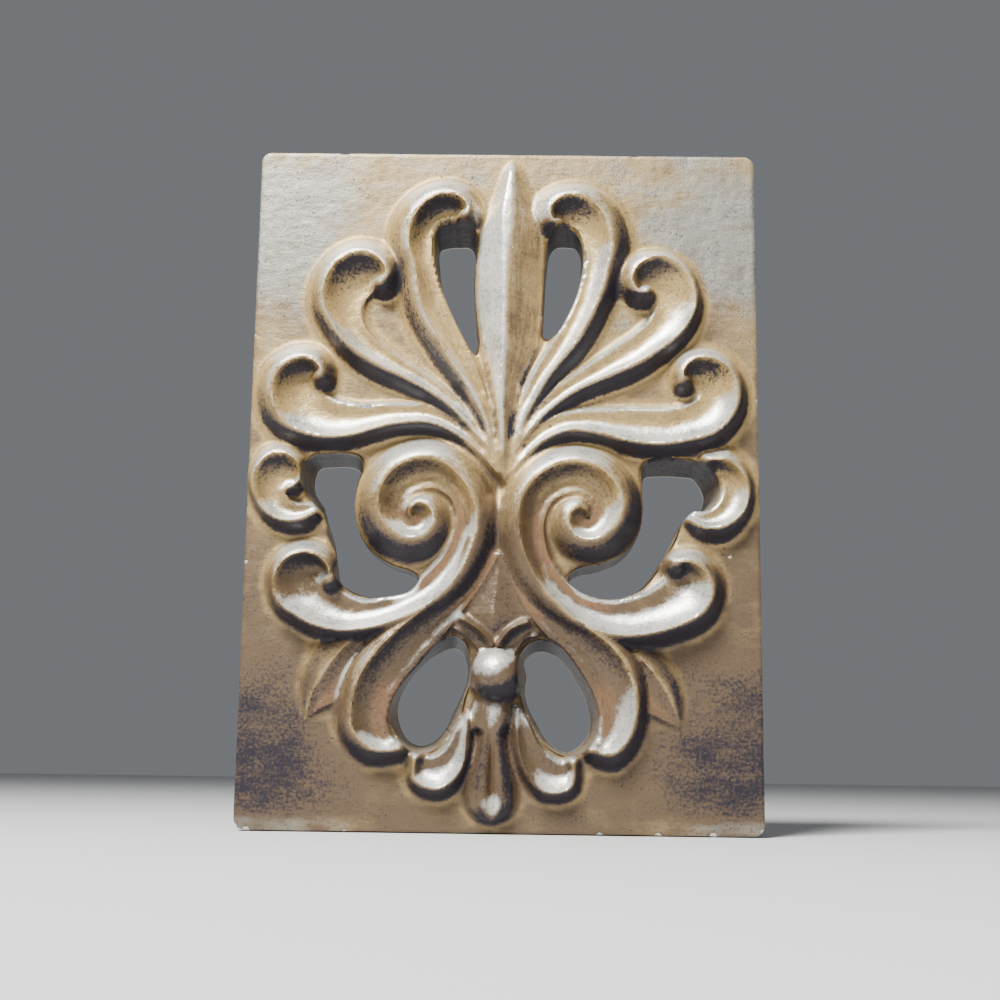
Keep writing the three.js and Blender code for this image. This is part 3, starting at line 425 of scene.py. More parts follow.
class Sheets:
    """The carved surfaces as one set of fine sheets, each vertex with its place across the section."""

    def __init__(self):
        self.bm = bmesh.new()
        self.across = self.bm.verts.layers.float.new("across")
        self.run = self.bm.verts.layers.float.new("run")

    def add(self, rows, columns, place, length=20.0):
        """A grid whose vertices place() puts at (x, z, height, across) for shares of its two sides."""
        verts = bmesh.ops.create_grid(self.bm, x_segments=rows, y_segments=columns, size=1)["verts"]
        share = np.array([v.co[:2] for v in verts]) / 2 + 0.5
        for vert, run, (x, z, height, across) in zip(verts, share[:, 0], place(share[:, 0], share[:, 1])):
            vert.co = (x, -height, z)
            vert[self.across] = across
            vert[self.run] = run * length

    def leaf(self, shape):
        """One leaf, from the skirt under its lip, over the crest, to the foot of its slope."""
        rows = 22 * (len(waypoints(shape["rib"])) - 1)

        def place(t, u):
            s = -1.2 + 2.3 * u
            crest, inner, out = leaf_lines(shape, t)
            rise = along(shape["rise"], t)
            top = rise * RELIEF_HEIGHT
            low = np.minimum(along(shape.get("lip_rise", LIP_RISE), t), 0.8 * rise) * RELIEF_HEIGHT
            edge = shape.get("edge", 0) * RELIEF_HEIGHT
            hollow = np.clip(s + 1, 0, 1)
            slope = np.clip(s, 0, 1.1)
            skirt = np.clip(-1 - s, 0, 1) / 0.2
            plan = inner + (crest - inner) * hollow[:, None]
            plan += out * (along(shape["flank"], t) * slope)[:, None]
            away = inner - crest
            away /= np.maximum(np.linalg.norm(away, axis=1), 0.3)[:, None]
            plan += away * (SKIRT * skirt)[:, None]
            climb = hollow ** shape.get("hollow", HOLLOW_POWER)
            dip = HOLLOW_DIP * low * np.sin(math.pi * hollow)
            fall = top - (top - edge) * slope ** SLOPE_POWER - 20 * np.clip(slope - 1, 0, 1) * edge
            height = np.where(s < 0, low + (top - low) * climb - dip, fall) - skirt * (low + 1)
            return np.column_stack([plan, height, np.clip(s, -1, 1)])

        crest = leaf_lines(shape, np.linspace(0, 1, 200))[0]
        self.add(rows, 56, place, np.linalg.norm(np.diff(crest, axis=0), axis=1).sum())
        if "nose" in shape:
            self.dome(*crest[-1], 0.92 * shape["nose"], 0.9 * along(shape["rise"], 1) * RELIEF_HEIGHT, 0)

    def dome(self, x, z, radius, height, base):
        """A rounded boss on a plane at the base height."""

        def place(a, b):
            turn = 2 * math.pi * a
            lean = math.pi / 2 * b
            reach = radius * np.sin(lean)
            return np.column_stack([x + reach * np.cos(turn), z + reach * np.sin(turn),
                                    base + height * np.cos(lean), b])

        self.add(48, 20, place)

    def loft(self, section, stations, columns):
        """A sheet through rows of a section, spread evenly from the first row to the last."""
        table = np.array(stations, float)

        def place(t, u):
            row = np.stack([along(table[:, k], t) for k in range(table.shape[1])], 1)
            return section(row, u)

        self.add(20 * len(stations), columns, place)

    def spear(self):
        def section(row, u):
            z, left, ridge, right, top, edge, flat = row.T
            reach = 2 * u - 1
            side = np.clip(1.15 - 1.15 * np.abs(reach), 0, 1)
            near = ridge + np.sign(reach) * flat / 2
            x = near + (np.where(reach < 0, left, right) - near) * (1 - side)
            x = np.where(side == 1, ridge + flat / 2 * reach / 0.13, x)
            return np.column_stack([x, z, (edge + (top - edge) * side) * RELIEF_HEIGHT, 1 - side])

        self.loft(section, SPEAR, 40)

    def bud(self):
        shares = [share for share, _ in LOBE] + [0.5] + [1 - share for share, _ in reversed(LOBE)]

        def section(row, u):
            z, left, right, top, groove = row.T
            side = np.interp(np.minimum(u, 1 - u), [share for share, _ in LOBE] + [0.5],
                             [height for _, height in LOBE] + [0.9])
            dip = groove * np.clip(1 - np.abs(u - 0.5) / 0.09, 0, 1)
            return np.column_stack([left + (right - left) * u, z, (side * top - dip) * RELIEF_HEIGHT,
                                    np.abs(2 * u - 1)])

        self.loft(section, BUD, 6 * len(shares))

    def field(self):
        peak = np.array(FIELD["peak"])
        corners = np.array(FIELD["outline"] + FIELD["outline"][:1], float)

        def place(a, b):
            edge = np.column_stack([along(corners[:, 0], a), along(corners[:, 1], a)])
            plan = peak + (edge - peak) * b[:, None]
            height = FIELD["rise"] + (FIELD_RIM - FIELD["rise"]) * b
            return np.column_stack([plan, height * RELIEF_HEIGHT, b])

        self.add(80, 20, place)

    def tree(self):
        """The sheets as a search tree, with the place across the section and along the leaf of each face."""
        self.bm.faces.ensure_lookup_table()
        lists = [[(v[self.across], v[self.run]) for v in f.verts] for f in self.bm.faces]
        across, run = np.array([np.mean(corners, axis=0) for corners in lists]).T
        return BVHTree.FromBMesh(self.bm), across, run


def carved_sheets():
    """Every raised form of the palmette."""
    sheets = Sheets()
    for shape in LEAVES + SCROLLS + STEMS + SMALL_LEAVES:
        sheets.leaf(shape)
    sheets.spear()
    sheets.bud()
    sheets.field()
    sheets.dome(BALL["x"], BALL["z"], BALL["radius"], BALL["radius"], BALL["rise"] * RELIEF_HEIGHT)
    return sheets


def closed_line(points, count=1200):
    """Evenly spaced places on a smooth closed line through the points."""
    fine = smooth_line(points, np.linspace(0, 1, 3000), closed=True)
    run = np.concatenate([[0], np.cumsum(np.linalg.norm(np.diff(fine, axis=0), axis=1))])
    at = np.linspace(0, run[-1], count + 1)[:-1]
    return np.stack([np.interp(at, run, fine[:, 0]), np.interp(at, run, fine[:, 1])], 1)


def opening_at(lines, depth):
    """An opening's outline at a depth in front of the back, between its two drawn lines."""
    back, front = lines
    return back + (front - back) * (depth / (PANEL_THICKNESS + OPENING_FRONT))


def inside(points, outline):
    """Which points lie inside a closed outline."""
    x, z = points[:, 0, None], points[:, 1, None]
    x0, z0 = outline.T
    x1, z1 = np.roll(x0, -1), np.roll(z0, -1)
    crosses = (z0 > z) != (z1 > z)
    with np.errstate(divide="ignore", invalid="ignore"):
        where = x0 + (z - z0) / (z1 - z0) * (x1 - x0)
    return (crosses & (x < where)).sum(1) % 2 == 1


def blur(grid, passes):
    """A grid of values, smoothed by a narrow kernel a number of times."""
    for _ in range(passes):
        for axis in (0, 1):
            wide = np.concatenate([grid.take([0], axis), grid, grid.take([-1], axis)], axis)
            first = wide.take(range(grid.shape[axis]), axis)
            last = wide.take(range(2, grid.shape[axis] + 2), axis)
            grid = 0.25 * first + 0.5 * grid + 0.25 * last
    return grid


def on_grid(values, column, row):
    """The vertices' values laid out as a grid."""
    grid = np.zeros((column.max() + 1, row.max() + 1))
    grid[column, row] = values
    return grid


def highest(grid):
    """The highest value among each place of a grid and its neighbours."""
    for axis in (0, 1):
        wide = np.concatenate([grid.take([0], axis), grid, grid.take([-1], axis)], axis)
        sides = [wide.take(range(k, grid.shape[axis] + k), axis) for k in range(3)]
        grid = np.maximum.reduce(sides)
    return grid


def spread(grid, known, passes=5):
    """Carries known values of a grid outwards into the unknown ones around them."""
    for _ in range(passes):
        weight = blur(known.astype(float), 1)
        grid = np.where(known, grid, blur(grid * known, 1) / np.maximum(weight, 1e-6))
        known = known | (weight > 0.01)
    return grid


def hills(x, z, scale, seed):
    """Smooth noise from -1 to 1 over the panel, with hills of about the scale in millimetres."""
    return np.array([noise.noise(Vector((a / scale, b / scale, seed))) for a, b in zip(x, z)])


def nearest(points, targets):
    """For each point the number of its nearest target, and how far it is."""
    tree = kdtree.KDTree(len(targets))
    for i, (x, z) in enumerate(targets):
        tree.insert((x, 0, z), i)
    tree.balance()
    found = [tree.find((x, 0, z)) for x, z in points]
    return np.array([f[1] for f in found]), np.array([f[2] for f in found])


def colour(name, description, default):
    """A colour that the sidebar shows."""
    return bpy.props.FloatVectorProperty(
        name=name, description=description, subtype="COLOR", size=3, default=default)


class PlaqueCasting(bpy.types.PropertyGroup):
    cell: bpy.props.FloatProperty(
        name="Cell", description="Side of the carved surface's cells", default=0.71 * MM, unit="LENGTH")
    fillet: bpy.props.IntProperty(
        name="Fillet", description="How softly the carving meets the panel, in smoothing passes", default=6)
    soften: bpy.props.FloatProperty(
        name="Worn crests", description="How far crests are rounded off", default=0.2, subtype="FACTOR")
    rim: bpy.props.FloatProperty(
        name="Rim", description="Radius of the rounded edges", default=1.0 * MM, unit="LENGTH")
    sway: bpy.props.FloatProperty(
        name="Sway", description="How uneven the hand-finished surface is", default=0.12 * MM, unit="LENGTH")
    wave: bpy.props.FloatProperty(
        name="Wave", description="How far the panel's outline wavers inwards", default=0.45 * MM, unit="LENGTH")
    brown: colour("Brown", "Bronze ground of the paint", (0.125, 0.082, 0.046))
    gold: colour("Gold", "Pale gold of the leaves", (0.56, 0.385, 0.15))
    # Painted highlight: besides the real silver paint, this silver is laid where surfaces face the light.
    silver: colour("Silver", "Silver rubbed on what faces up", (0.8, 0.78, 0.7))
    pewter: colour("Pewter", "The duller silver left on the flat panel and in patches", (0.42, 0.44, 0.39))
    dark: colour("Dark", "Indigo brown of the shaded slopes", (0.021, 0.018, 0.025))
    copper: colour("Copper", "Copper rub in the scrolls", (0.33, 0.17, 0.078))
    plaster: colour("Plaster", "Bare plaster of chips and the back", (0.74, 0.71, 0.64))


class PlaqueStage(bpy.types.PropertyGroup):
    floor_colour: colour("Floor", "Colour of the floor", (0.62, 0.62, 0.61))
    lens: bpy.props.FloatProperty(
        name="Lens", description="Focal length for a 36 mm wide frame", default=54.0, unit="CAMERA")
    key: bpy.props.FloatProperty(
        name="Key light", description="Power of the large light overhead", default=36.0, unit="POWER")
    fill: bpy.props.FloatProperty(
        name="Fill light", description="Power of the light beside the camera", default=0.9, unit="POWER")


def carve_plaque(settings):
    """The whole casting as one closed mesh."""
    cell = settings.cell / MM
    across_cells = round(PANEL_WIDTH / cell)
    up_cells = round(PANEL_HEIGHT / cell)
    bm = bmesh.new()
    bmesh.ops.create_grid(bm, x_segments=across_cells, y_segments=up_cells, size=0.5)
    bm.verts.ensure_lookup_table()
    flat = np.array([v.co[:2] for v in bm.verts])
    column = np.rint((flat[:, 0] + 0.5) * across_cells).astype(int)
    row = np.rint((flat[:, 1] + 0.5) * up_cells).astype(int)
    plan = round_corners(flat * [PANEL_WIDTH, PANEL_HEIGHT])
    cells = np.zeros((across_cells + 1, up_cells + 1), int)
    cells[column, row] = np.arange(len(plan))
    openings = [(closed_line(lines["back"]), closed_line(lines["front"])) for lines in OPENINGS]
    fronts = [front for _, front in openings]
    held = np.zeros(len(plan), bool)
    for front in fronts:
        pull_to_lines(plan, held, cells, front)
    drawn = [leaf_lines(shape, np.linspace(0, 1, 4000)) for shape in LEAVES + SCROLLS + STEMS + SMALL_LEAVES]
    for crest, _, _ in drawn:
        pull_to_lines(plan, held, cells, crest)
    for crest, lip, _ in drawn:
        pull_to_lines(plan, held, cells, lip[np.linalg.norm(crest - lip, axis=1) > LIP_GAP])
    tree, face_across, face_run = carved_sheets().tree()
    height = np.zeros(len(plan))
    across = np.full(len(plan), 2.0)
    run = np.zeros(len(plan))
    for i, (x, z) in enumerate(plan):
        hit = tree.ray_cast(Vector((x, -40, z)), Vector((0, 1, 0)))
        if hit[0] is not None and -hit[0].y > 0:
            height[i] = -hit[0].y
            across[i] = face_across[hit[2]]
            run[i] = face_run[hit[2]]
    grid = on_grid(height, column, row)
    closed = -highest(-highest(grid))
    root = on_grid(ease(np.hypot(plan[:, 0], plan[:, 1] - FAN_ROOT_HEIGHT), *FAN_ROOT_REACH), column, row)
    grid = grid + root * (blur(closed, 1) - grid)
    reach = on_grid(ease(np.abs(across), 0.4, 0.85), column, row)
    grid = np.maximum(grid, grid + reach * (blur(grid, settings.fillet) - 0.1 - grid))
    grid += settings.soften * (blur(grid, 1) - grid)
    height = grid[column, row]
    wide = blur(grid, 10)[column, row]
    halo = blur((grid > 0.5).astype(float), 14)[column, row]
    plan = uneven_sides(plan, settings.wave / MM)
    x, z = plan.T
    sway = settings.sway / MM
    waved = height + sway * hills(x, z, 11, 1) + 0.75 * sway * hills(x, z, 2.8, 5)
    height = np.minimum(waved, height.max())

    rim = settings.rim / MM
    edge = np.minimum(PANEL_WIDTH / 2 - np.abs(x), PANEL_HEIGHT / 2 - np.abs(z))
    _, gap = nearest(plan, np.vstack(fronts))
    gone = np.zeros(len(plan), bool)
    for front in fronts:
        gone |= inside(plan, front)
    gap[gone] = 0
    short = np.clip(rim - np.minimum(edge, gap), 0, rim)
    height -= rim - np.sqrt(rim ** 2 - short ** 2)
    chip = np.zeros(len(plan))
    for place_x, place_z, radius in CHIPS:
        bite = ease(np.hypot((x - place_x) / 1.5, z - place_z), radius, 0.3 * radius)
        chip = np.maximum(chip, bite)
    height -= CHIP_DEPTH * chip

    down, right = slopes(on_grid(height, column, row), column, row, cell)
    tones = paint_tones(x, z, height, across, down, right, wide - height, halo)
    for name, tone in tones.items():
        tones[name] = blur(on_grid(tone, column, row), 1)[column, row]
    tones["chip"] = chip
    tones["across"] = np.minimum(across, 1)
    on_leaf = on_grid(across < 2, column, row).astype(bool)
    tones["run"] = spread(on_grid(run, column, row), on_leaf)[column, row]
    tones["wall"] = np.zeros(len(plan))
    layers = {name: bm.verts.layers.float.new(name) for name in tones}
    for i, v in enumerate(bm.verts):
        v.co = (x[i], -PANEL_THICKNESS - height[i], z[i])
        for name, layer in layers.items():
            v[layer] = tones[name][i]
    bmesh.ops.connect_verts(bm, verts=[v for v, on_line in zip(bm.verts, held) if on_line])
    pierce(bm, openings, layers)
    close_back(bm, layers)
    bmesh.ops.recalc_face_normals(bm, faces=bm.faces)
    paint_walls(bm, layers)
    bmesh.ops.scale(bm, vec=(MM, MM, MM), verts=bm.verts)
    open_edges = sum(1 for e in bm.edges if len(e.link_faces) != 2)
    if open_edges:
        raise RuntimeError(f"the casting has {open_edges} open edges")
    return bm


def slopes(grid, column, row, cell):
    """How steeply the surface falls towards the bottom and towards the right at each vertex."""
    across, up = np.gradient(blur(grid, 1), cell)
    return up[column, row], -across[column, row]


def ease(value, low, high):
    """A soft step from 0 at the low value to 1 at the high one, which may be the smaller."""
    share = np.clip((value - low) / (high - low), 0, 1)
    return share * share * (3 - 2 * share)


def paint_tones(x, z, height, across, down, right, cavity, halo):
    """How much of each paint lies on each vertex, from where it is and which way it faces. Besides the paint's own
    colours, the silver and gold tones carry painted highlight where a surface faces the light, and the dark tone
    carries painted shade where it faces away and in recesses.
    """
    steep = np.sqrt(1 + down ** 2 + right ** 2)
    lit = -(LIGHT_DOWN * down + LIGHT_RIGHT * right) / steep
    carved = ease(height, 0.15, 0.7)
    broad, small = hills(x, z, 26, 11), hills(x, z, 8, 23)
    side = np.abs(x)
    band = np.where(carved > 0, ease(across, 0, 0.12) * ease(across, 0.62, 0.36), 0)
    hollow = ease(across, 0, -0.1) * ease(across, -1.2, -0.9)
    crest = ease(np.abs(across), 0.09, 0.02)
    bud_end = ease(np.abs(z + 112.5), 7, 1) * ease(side, 13, 10)
    upper = ease(z, -60, 60)

    low = ease(z, 12, -45)
    middle = ease(side, 14, 11) * low
    foot = ease(across, 0.82, 1) * ease(across, 1.5, 1.2)
    collar = ease(np.abs(z + 81), 9, 3) * ease(side, 14, 10)
    # Painted highlight: silver is laid where a surface faces the light, along the crests, on the roll tops, in the
    # lit part of the hollows and on the ball's lit side, over the real silver paint.
    silver = 0.04 + 0.95 * lit + 0.22 * band * (0.35 + upper) + 0.06 * upper + 0.5 * crest + 1.1 * bud_end
    ball = ease(np.hypot(x - BALL["x"], z - BALL["z"]), 10, 8.6)
    spear_left = ease(side, 16, 12) * ease(z, 20, 60) * ease(right, 0.02, -0.2)
    silver += 0.7 * hollow * ease(lit, -0.05, 0.6) + 0.8 * collar + 0.5 * spear_left
    silver += ball * (0.25 + 0.75 * ease(lit, -0.2, 0.35))
    silver -= 0.3 * ease(cavity, 0.2, 1.4) - 0.3 * low * hollow * ease(lit, -0.15, 0.25) + 0.35 * middle
    # Painted light: gold also grows where a surface faces the light and along the crests.
    gold = 0.44 + 0.2 * hollow * (1 - 1.6 * low) + 0.4 * lit + 0.35 * crest + 0.12 * upper + 0.35 * foot
    gold -= 0.22 * low * ease(across, 0.1, 0.4) + 0.35 * middle + 0.3 * hollow * ease(z, -46, -60)
    # Painted shade, over the dark patina of the recesses: dark is laid where a surface faces away from the light,
    # in recesses, in hollows that face down, in a narrow band under each crest and on the ball's shaded side.
    dark = 0.12 - 1.0 * lit + 0.2 * hollow * ease(down, 0.3, 0.9) + 0.25 * ease(cavity, 0.4, 1.6)
    dark += 0.2 * ease(across, 0, -0.05) * ease(across, -0.16, -0.1) - 0.5 * crest - 0.3 * bud_end
    # Painted shade on the outer slopes that face down, which also lose their silver.
    outer = ease(across, 0.22, 0.5) * ease(across, 1, 0.86) * ease(-down / steep, 0.7, 0.3)
    outer *= 1 - ease(side, 16, 12) * ease(z, 10, 30)
    dark += 0.3 * ease(lit, -0.2, -0.5) * ease(across, 0.05, 0.25) + 0.62 * outer
    dark += 0.3 * ball * ease(lit, 0, -0.4) - 0.5 * collar - 0.3 * bud_end
    silver -= 0.5 * outer
    spear_right = ease(side, 16, 12) * ease(z, 10, 50) * ease(right, -0.02, 0.2)
    scroll = ease(side, 44, 36) * ease(np.abs(z + 30), 50, 40) * ease(across, 0.03, 0.2)
    volute = hollow * ease(side, 56, 50) * ease(np.abs(z - 2), 30, 24)
    dark -= 0.3 * foot + 0.3 * spear_right + 0.55 * scroll + 0.35 * volute - 0.1 * middle
    upper_trough = ease(np.abs(z + 28), 30, 16) * ease(side, 46, 34) * ease(across, -0.3, -0.75)
    lower_trough = ease(z, -62, -74) * ease(side, 26, 34) * ease(across, -0.2, -0.6)
    copper = np.maximum(0.85 * hollow * upper_trough, 0.7 * hollow * lower_trough)
    gold -= 0.2 * copper
    # Painted shade in the grooves between the fan's ridges at its root, and painted highlight on their tops.
    fan = ease(np.hypot(x, z - 12), 38, 16) * ease(z, 4, 12)
    dark += 0.8 * fan * ease(cavity, 0.02, 0.4)
    silver += 0.3 * fan * ease(cavity, 0, -0.4)

    corner = ease(np.hypot((side - 84) / 1.2, (z + 98) / 1.1) + 14 * broad, 38, 8)
    speck = ease(z, -113, -119) * ease(side, 36, 64)
    shoulder = ease(np.hypot(side - 80, z - 88) + 18 * broad, 42, 10)
    pale = 0.16 + 0.62 * ease(z + 18 * broad, -60, 118) + 0.2 * small
    ring = ease(halo, 0.04, 0.22) * (1 - 0.5 * low)
    flat_silver = pale - 0.3 + 0.42 * shoulder + 0.08 * corner + 0.6 * speck - 0.3 * ring
    flat_gold = pale + 0.1 + 0.75 * ring - 0.35 * shoulder - 0.5 * corner + 0.4 * speck
    flat_dark = 0.16 + 0.62 * corner - 0.4 * speck - 0.25 * ease(z, -30, 60) - 0.25 * ring + 0.2 * broad
    return {
        "silver": flat_silver + (silver - flat_silver) * carved,
        "gold": flat_gold + (gold - flat_gold) * carved,
        "dark": flat_dark + (dark - flat_dark) * carved,
        "copper": copper * carved,
        "plate": 1 - carved,
    }


def paint_walls(bm, layers):
    """Paints the opening walls and the outer sides: painted shade where they face down, cream elsewhere."""
    bm.normal_update()
    for v in bm.verts:
        kind = v[layers["wall"]]
        if kind:
            under = float(ease(v.normal.z, 0.1, -0.7))
            v[layers["silver"]] = 0.42 - 0.6 * under - 0.12 * (kind - 1)
            v[layers["gold"]] = 0.5 - 0.5 * under
            v[layers["dark"]] = 0.16 + 0.75 * under + 0.12 * (kind - 1)
            v[layers["copper"]] = 0
            v[layers["chip"]] = 0
            v[layers["plate"]] = 0.5


def uneven_sides(plan, wave):
    """Lets the panel's outline waver inwards, as the edge of a hand-poured casting does."""
    x, z = plan.T
    upright = ease(PANEL_WIDTH / 2 - np.abs(x), 8, 0) * (1 + hills(z, np.sign(x), 17, 3)) / 2
    level = ease(PANEL_HEIGHT / 2 - np.abs(z), 8, 0) * (1 + hills(x, np.sign(z), 17, 7)) / 2
    return plan - np.sign(plan) * wave * np.stack([upright, level], 1)


def round_corners(plan):
    """Draws the square corners of the grid in to the panel's rounded ones."""
    half = np.array([PANEL_WIDTH, PANEL_HEIGHT]) / 2 - CORNER_RADIUS
    over = np.abs(plan) - half
    corner = (over > 0).all(1)
    reach = over[corner]
    length = np.maximum(np.linalg.norm(reach, axis=1), 1e-9)
    reach = reach * (reach.max(1) / length)[:, None]
    plan = plan.copy()
    plan[corner] = np.sign(plan[corner]) * (half + reach)
    return plan


def pull_to_lines(plan, held, cells, lines):
    """Moves the vertex nearest to each place of the lines onto them, so that they are clean edges."""
    share = lines / [PANEL_WIDTH, PANEL_HEIGHT] + 0.5
    within = ((share > 0) & (share < 1)).all(1)
    lines = lines[within]
    column, row = np.rint(share[within] * (np.array(cells.shape) - 1)).astype(int).T
    number = cells[column, row]
    gap = np.linalg.norm(lines - plan[number], axis=1)
    gap[held[number]] = 99
    order = np.lexsort((gap, number))
    first = order[np.unique(number[order], return_index=True)[1]]
    first = first[gap[first] < 1]
    plan[number[first]] = lines[first]
    held[number[first]] = True


def pierce(bm, openings, layers):
    """Cuts the openings through the front sheet and lays their walls back to the wall side."""
    faces = list(bm.faces)
    centres = np.array([f.calc_center_median()[:] for f in faces])[:, [0, 2]]
    gone = np.zeros(len(centres), bool)
    for _, front in openings:
        gone |= inside(centres, front)
    bmesh.ops.delete(bm, geom=[f for f, g in zip(faces, gone) if g], context="FACES")
    edges = [e for e in bm.edges if e.is_boundary and not on_side(e)]
    targets = np.vstack([front for _, front in openings])
    for share in WALL_SHARES:
        depth = share * PANEL_THICKNESS
        new = bmesh.ops.extrude_edge_only(bm, edges=edges)["geom"]
        moved = [g for g in new if isinstance(g, bmesh.types.BMVert)]
        number, _ = nearest([(v.co.x, v.co.z) for v in moved], targets)
        at = np.vstack([opening_at(lines, depth) for lines in openings])
        for v, n in zip(moved, number):
            v.co = (v.co.x + at[n][0] - targets[n][0], -depth, v.co.z + at[n][1] - targets[n][1])
            v[layers["wall"]] = 1
        targets = at
        edges = [g for g in new if isinstance(g, bmesh.types.BMEdge)]


def on_side(edge):
    """Whether a boundary edge belongs to the panel's outer side and not to an opening."""
    x, _, z = (edge.verts[0].co + edge.verts[1].co) / 2
    far = max(abs(x) / PANEL_WIDTH, abs(z) / PANEL_HEIGHT)
    return far > 0.5 - CORNER_RADIUS / PANEL_HEIGHT


def close_back(bm, layers):
    """Lays the panel's outer sides back and closes the flat back between them and the openings."""
    edges = [e for e in bm.edges if e.is_boundary and on_side(e)]
    for depth, inset in SIDE_RINGS:
        new = bmesh.ops.extrude_edge_only(bm, edges=edges)["geom"]
        for v in (g for g in new if isinstance(g, bmesh.types.BMVert)):
            v.co.y = -depth
            v.co.x *= 1 - 2 * inset / PANEL_WIDTH
            v.co.z *= 1 - 2 * inset / PANEL_HEIGHT
            v[layers["wall"]] = 2
        edges = [g for g in new if isinstance(g, bmesh.types.BMEdge)]
    loops = [e for e in bm.edges if e.is_boundary]
    filled = bmesh.ops.triangle_fill(bm, use_beauty=True, edges=loops)["geom"]
    faces = [g for g in filled if isinstance(g, bmesh.types.BMFace)]
    if not faces:
        raise RuntimeError("the back was not filled")


def mesh_object(bm, name):
    mesh = bpy.data.meshes.new(name)
    bm.to_mesh(mesh)
    bm.free()
    for polygon in mesh.polygons:
        polygon.use_smooth = True
    mesh.set_sharp_from_angle(angle=math.radians(55))
    piece = bpy.data.objects.new(name, mesh)
    bpy.context.scene.collection.objects.link(piece)
    return piece


class Shader:
    """A short way to lay out a material's nodes."""

    def __init__(self, name):
        self.material = bpy.data.materials.new(name)
        self.material.use_nodes = True
        self.nodes = self.material.node_tree.nodes
        self.surface = self.nodes["Principled BSDF"]

    def link(self, value, socket):
        if isinstance(value, bpy.types.NodeSocket):
            self.material.node_tree.links.new(value, socket)
        else:
            socket.default_value = value

    def math(self, operation, first, second=0.0, third=0.0):
        node = self.nodes.new("ShaderNodeMath")
        node.operation = operation
        for value, socket in zip((first, second, third), node.inputs):
            self.link(value, socket)
        return node.outputs[0]

    def tone(self, name):
        node = self.nodes.new("ShaderNodeAttribute")
        node.attribute_name = name
        return node.outputs["Fac"]

    def stretched(self, scale, turn=0.0):
        """Object coordinates, stretched and turned in the panel's plane."""
        place = self.nodes.new("ShaderNodeTexCoord").outputs["Object"]
        node = self.nodes.new("ShaderNodeMapping")
        self.link(place, node.inputs["Vector"])
        node.inputs["Scale"].default_value = scale
        node.inputs["Rotation"].default_value = (0, turn, 0)
        return node.outputs[0]

    def noise(self, place, scale, detail=6.0, roughness=0.6):
        node = self.nodes.new("ShaderNodeTexNoise")
        self.link(place, node.inputs["Vector"])
        node.inputs["Scale"].default_value = scale
        node.inputs["Detail"].default_value = detail
        node.inputs["Roughness"].default_value = roughness
        return node.outputs["Fac"]

    def step(self, value, low, high):
        node = self.nodes.new("ShaderNodeMapRange")
        node.interpolation_type = "SMOOTHSTEP"
        self.link(value, node.inputs["Value"])
        node.inputs["From Min"].default_value = low
        node.inputs["From Max"].default_value = high
        return node.outputs["Result"]

    def mix(self, share, first, second):
        node = self.nodes.new("ShaderNodeMix")
        node.data_type = "RGBA"
        self.link(share, node.inputs[0])
        self.link(first, node.inputs[6])
        self.link(second, node.inputs[7])
        return node.outputs[2]


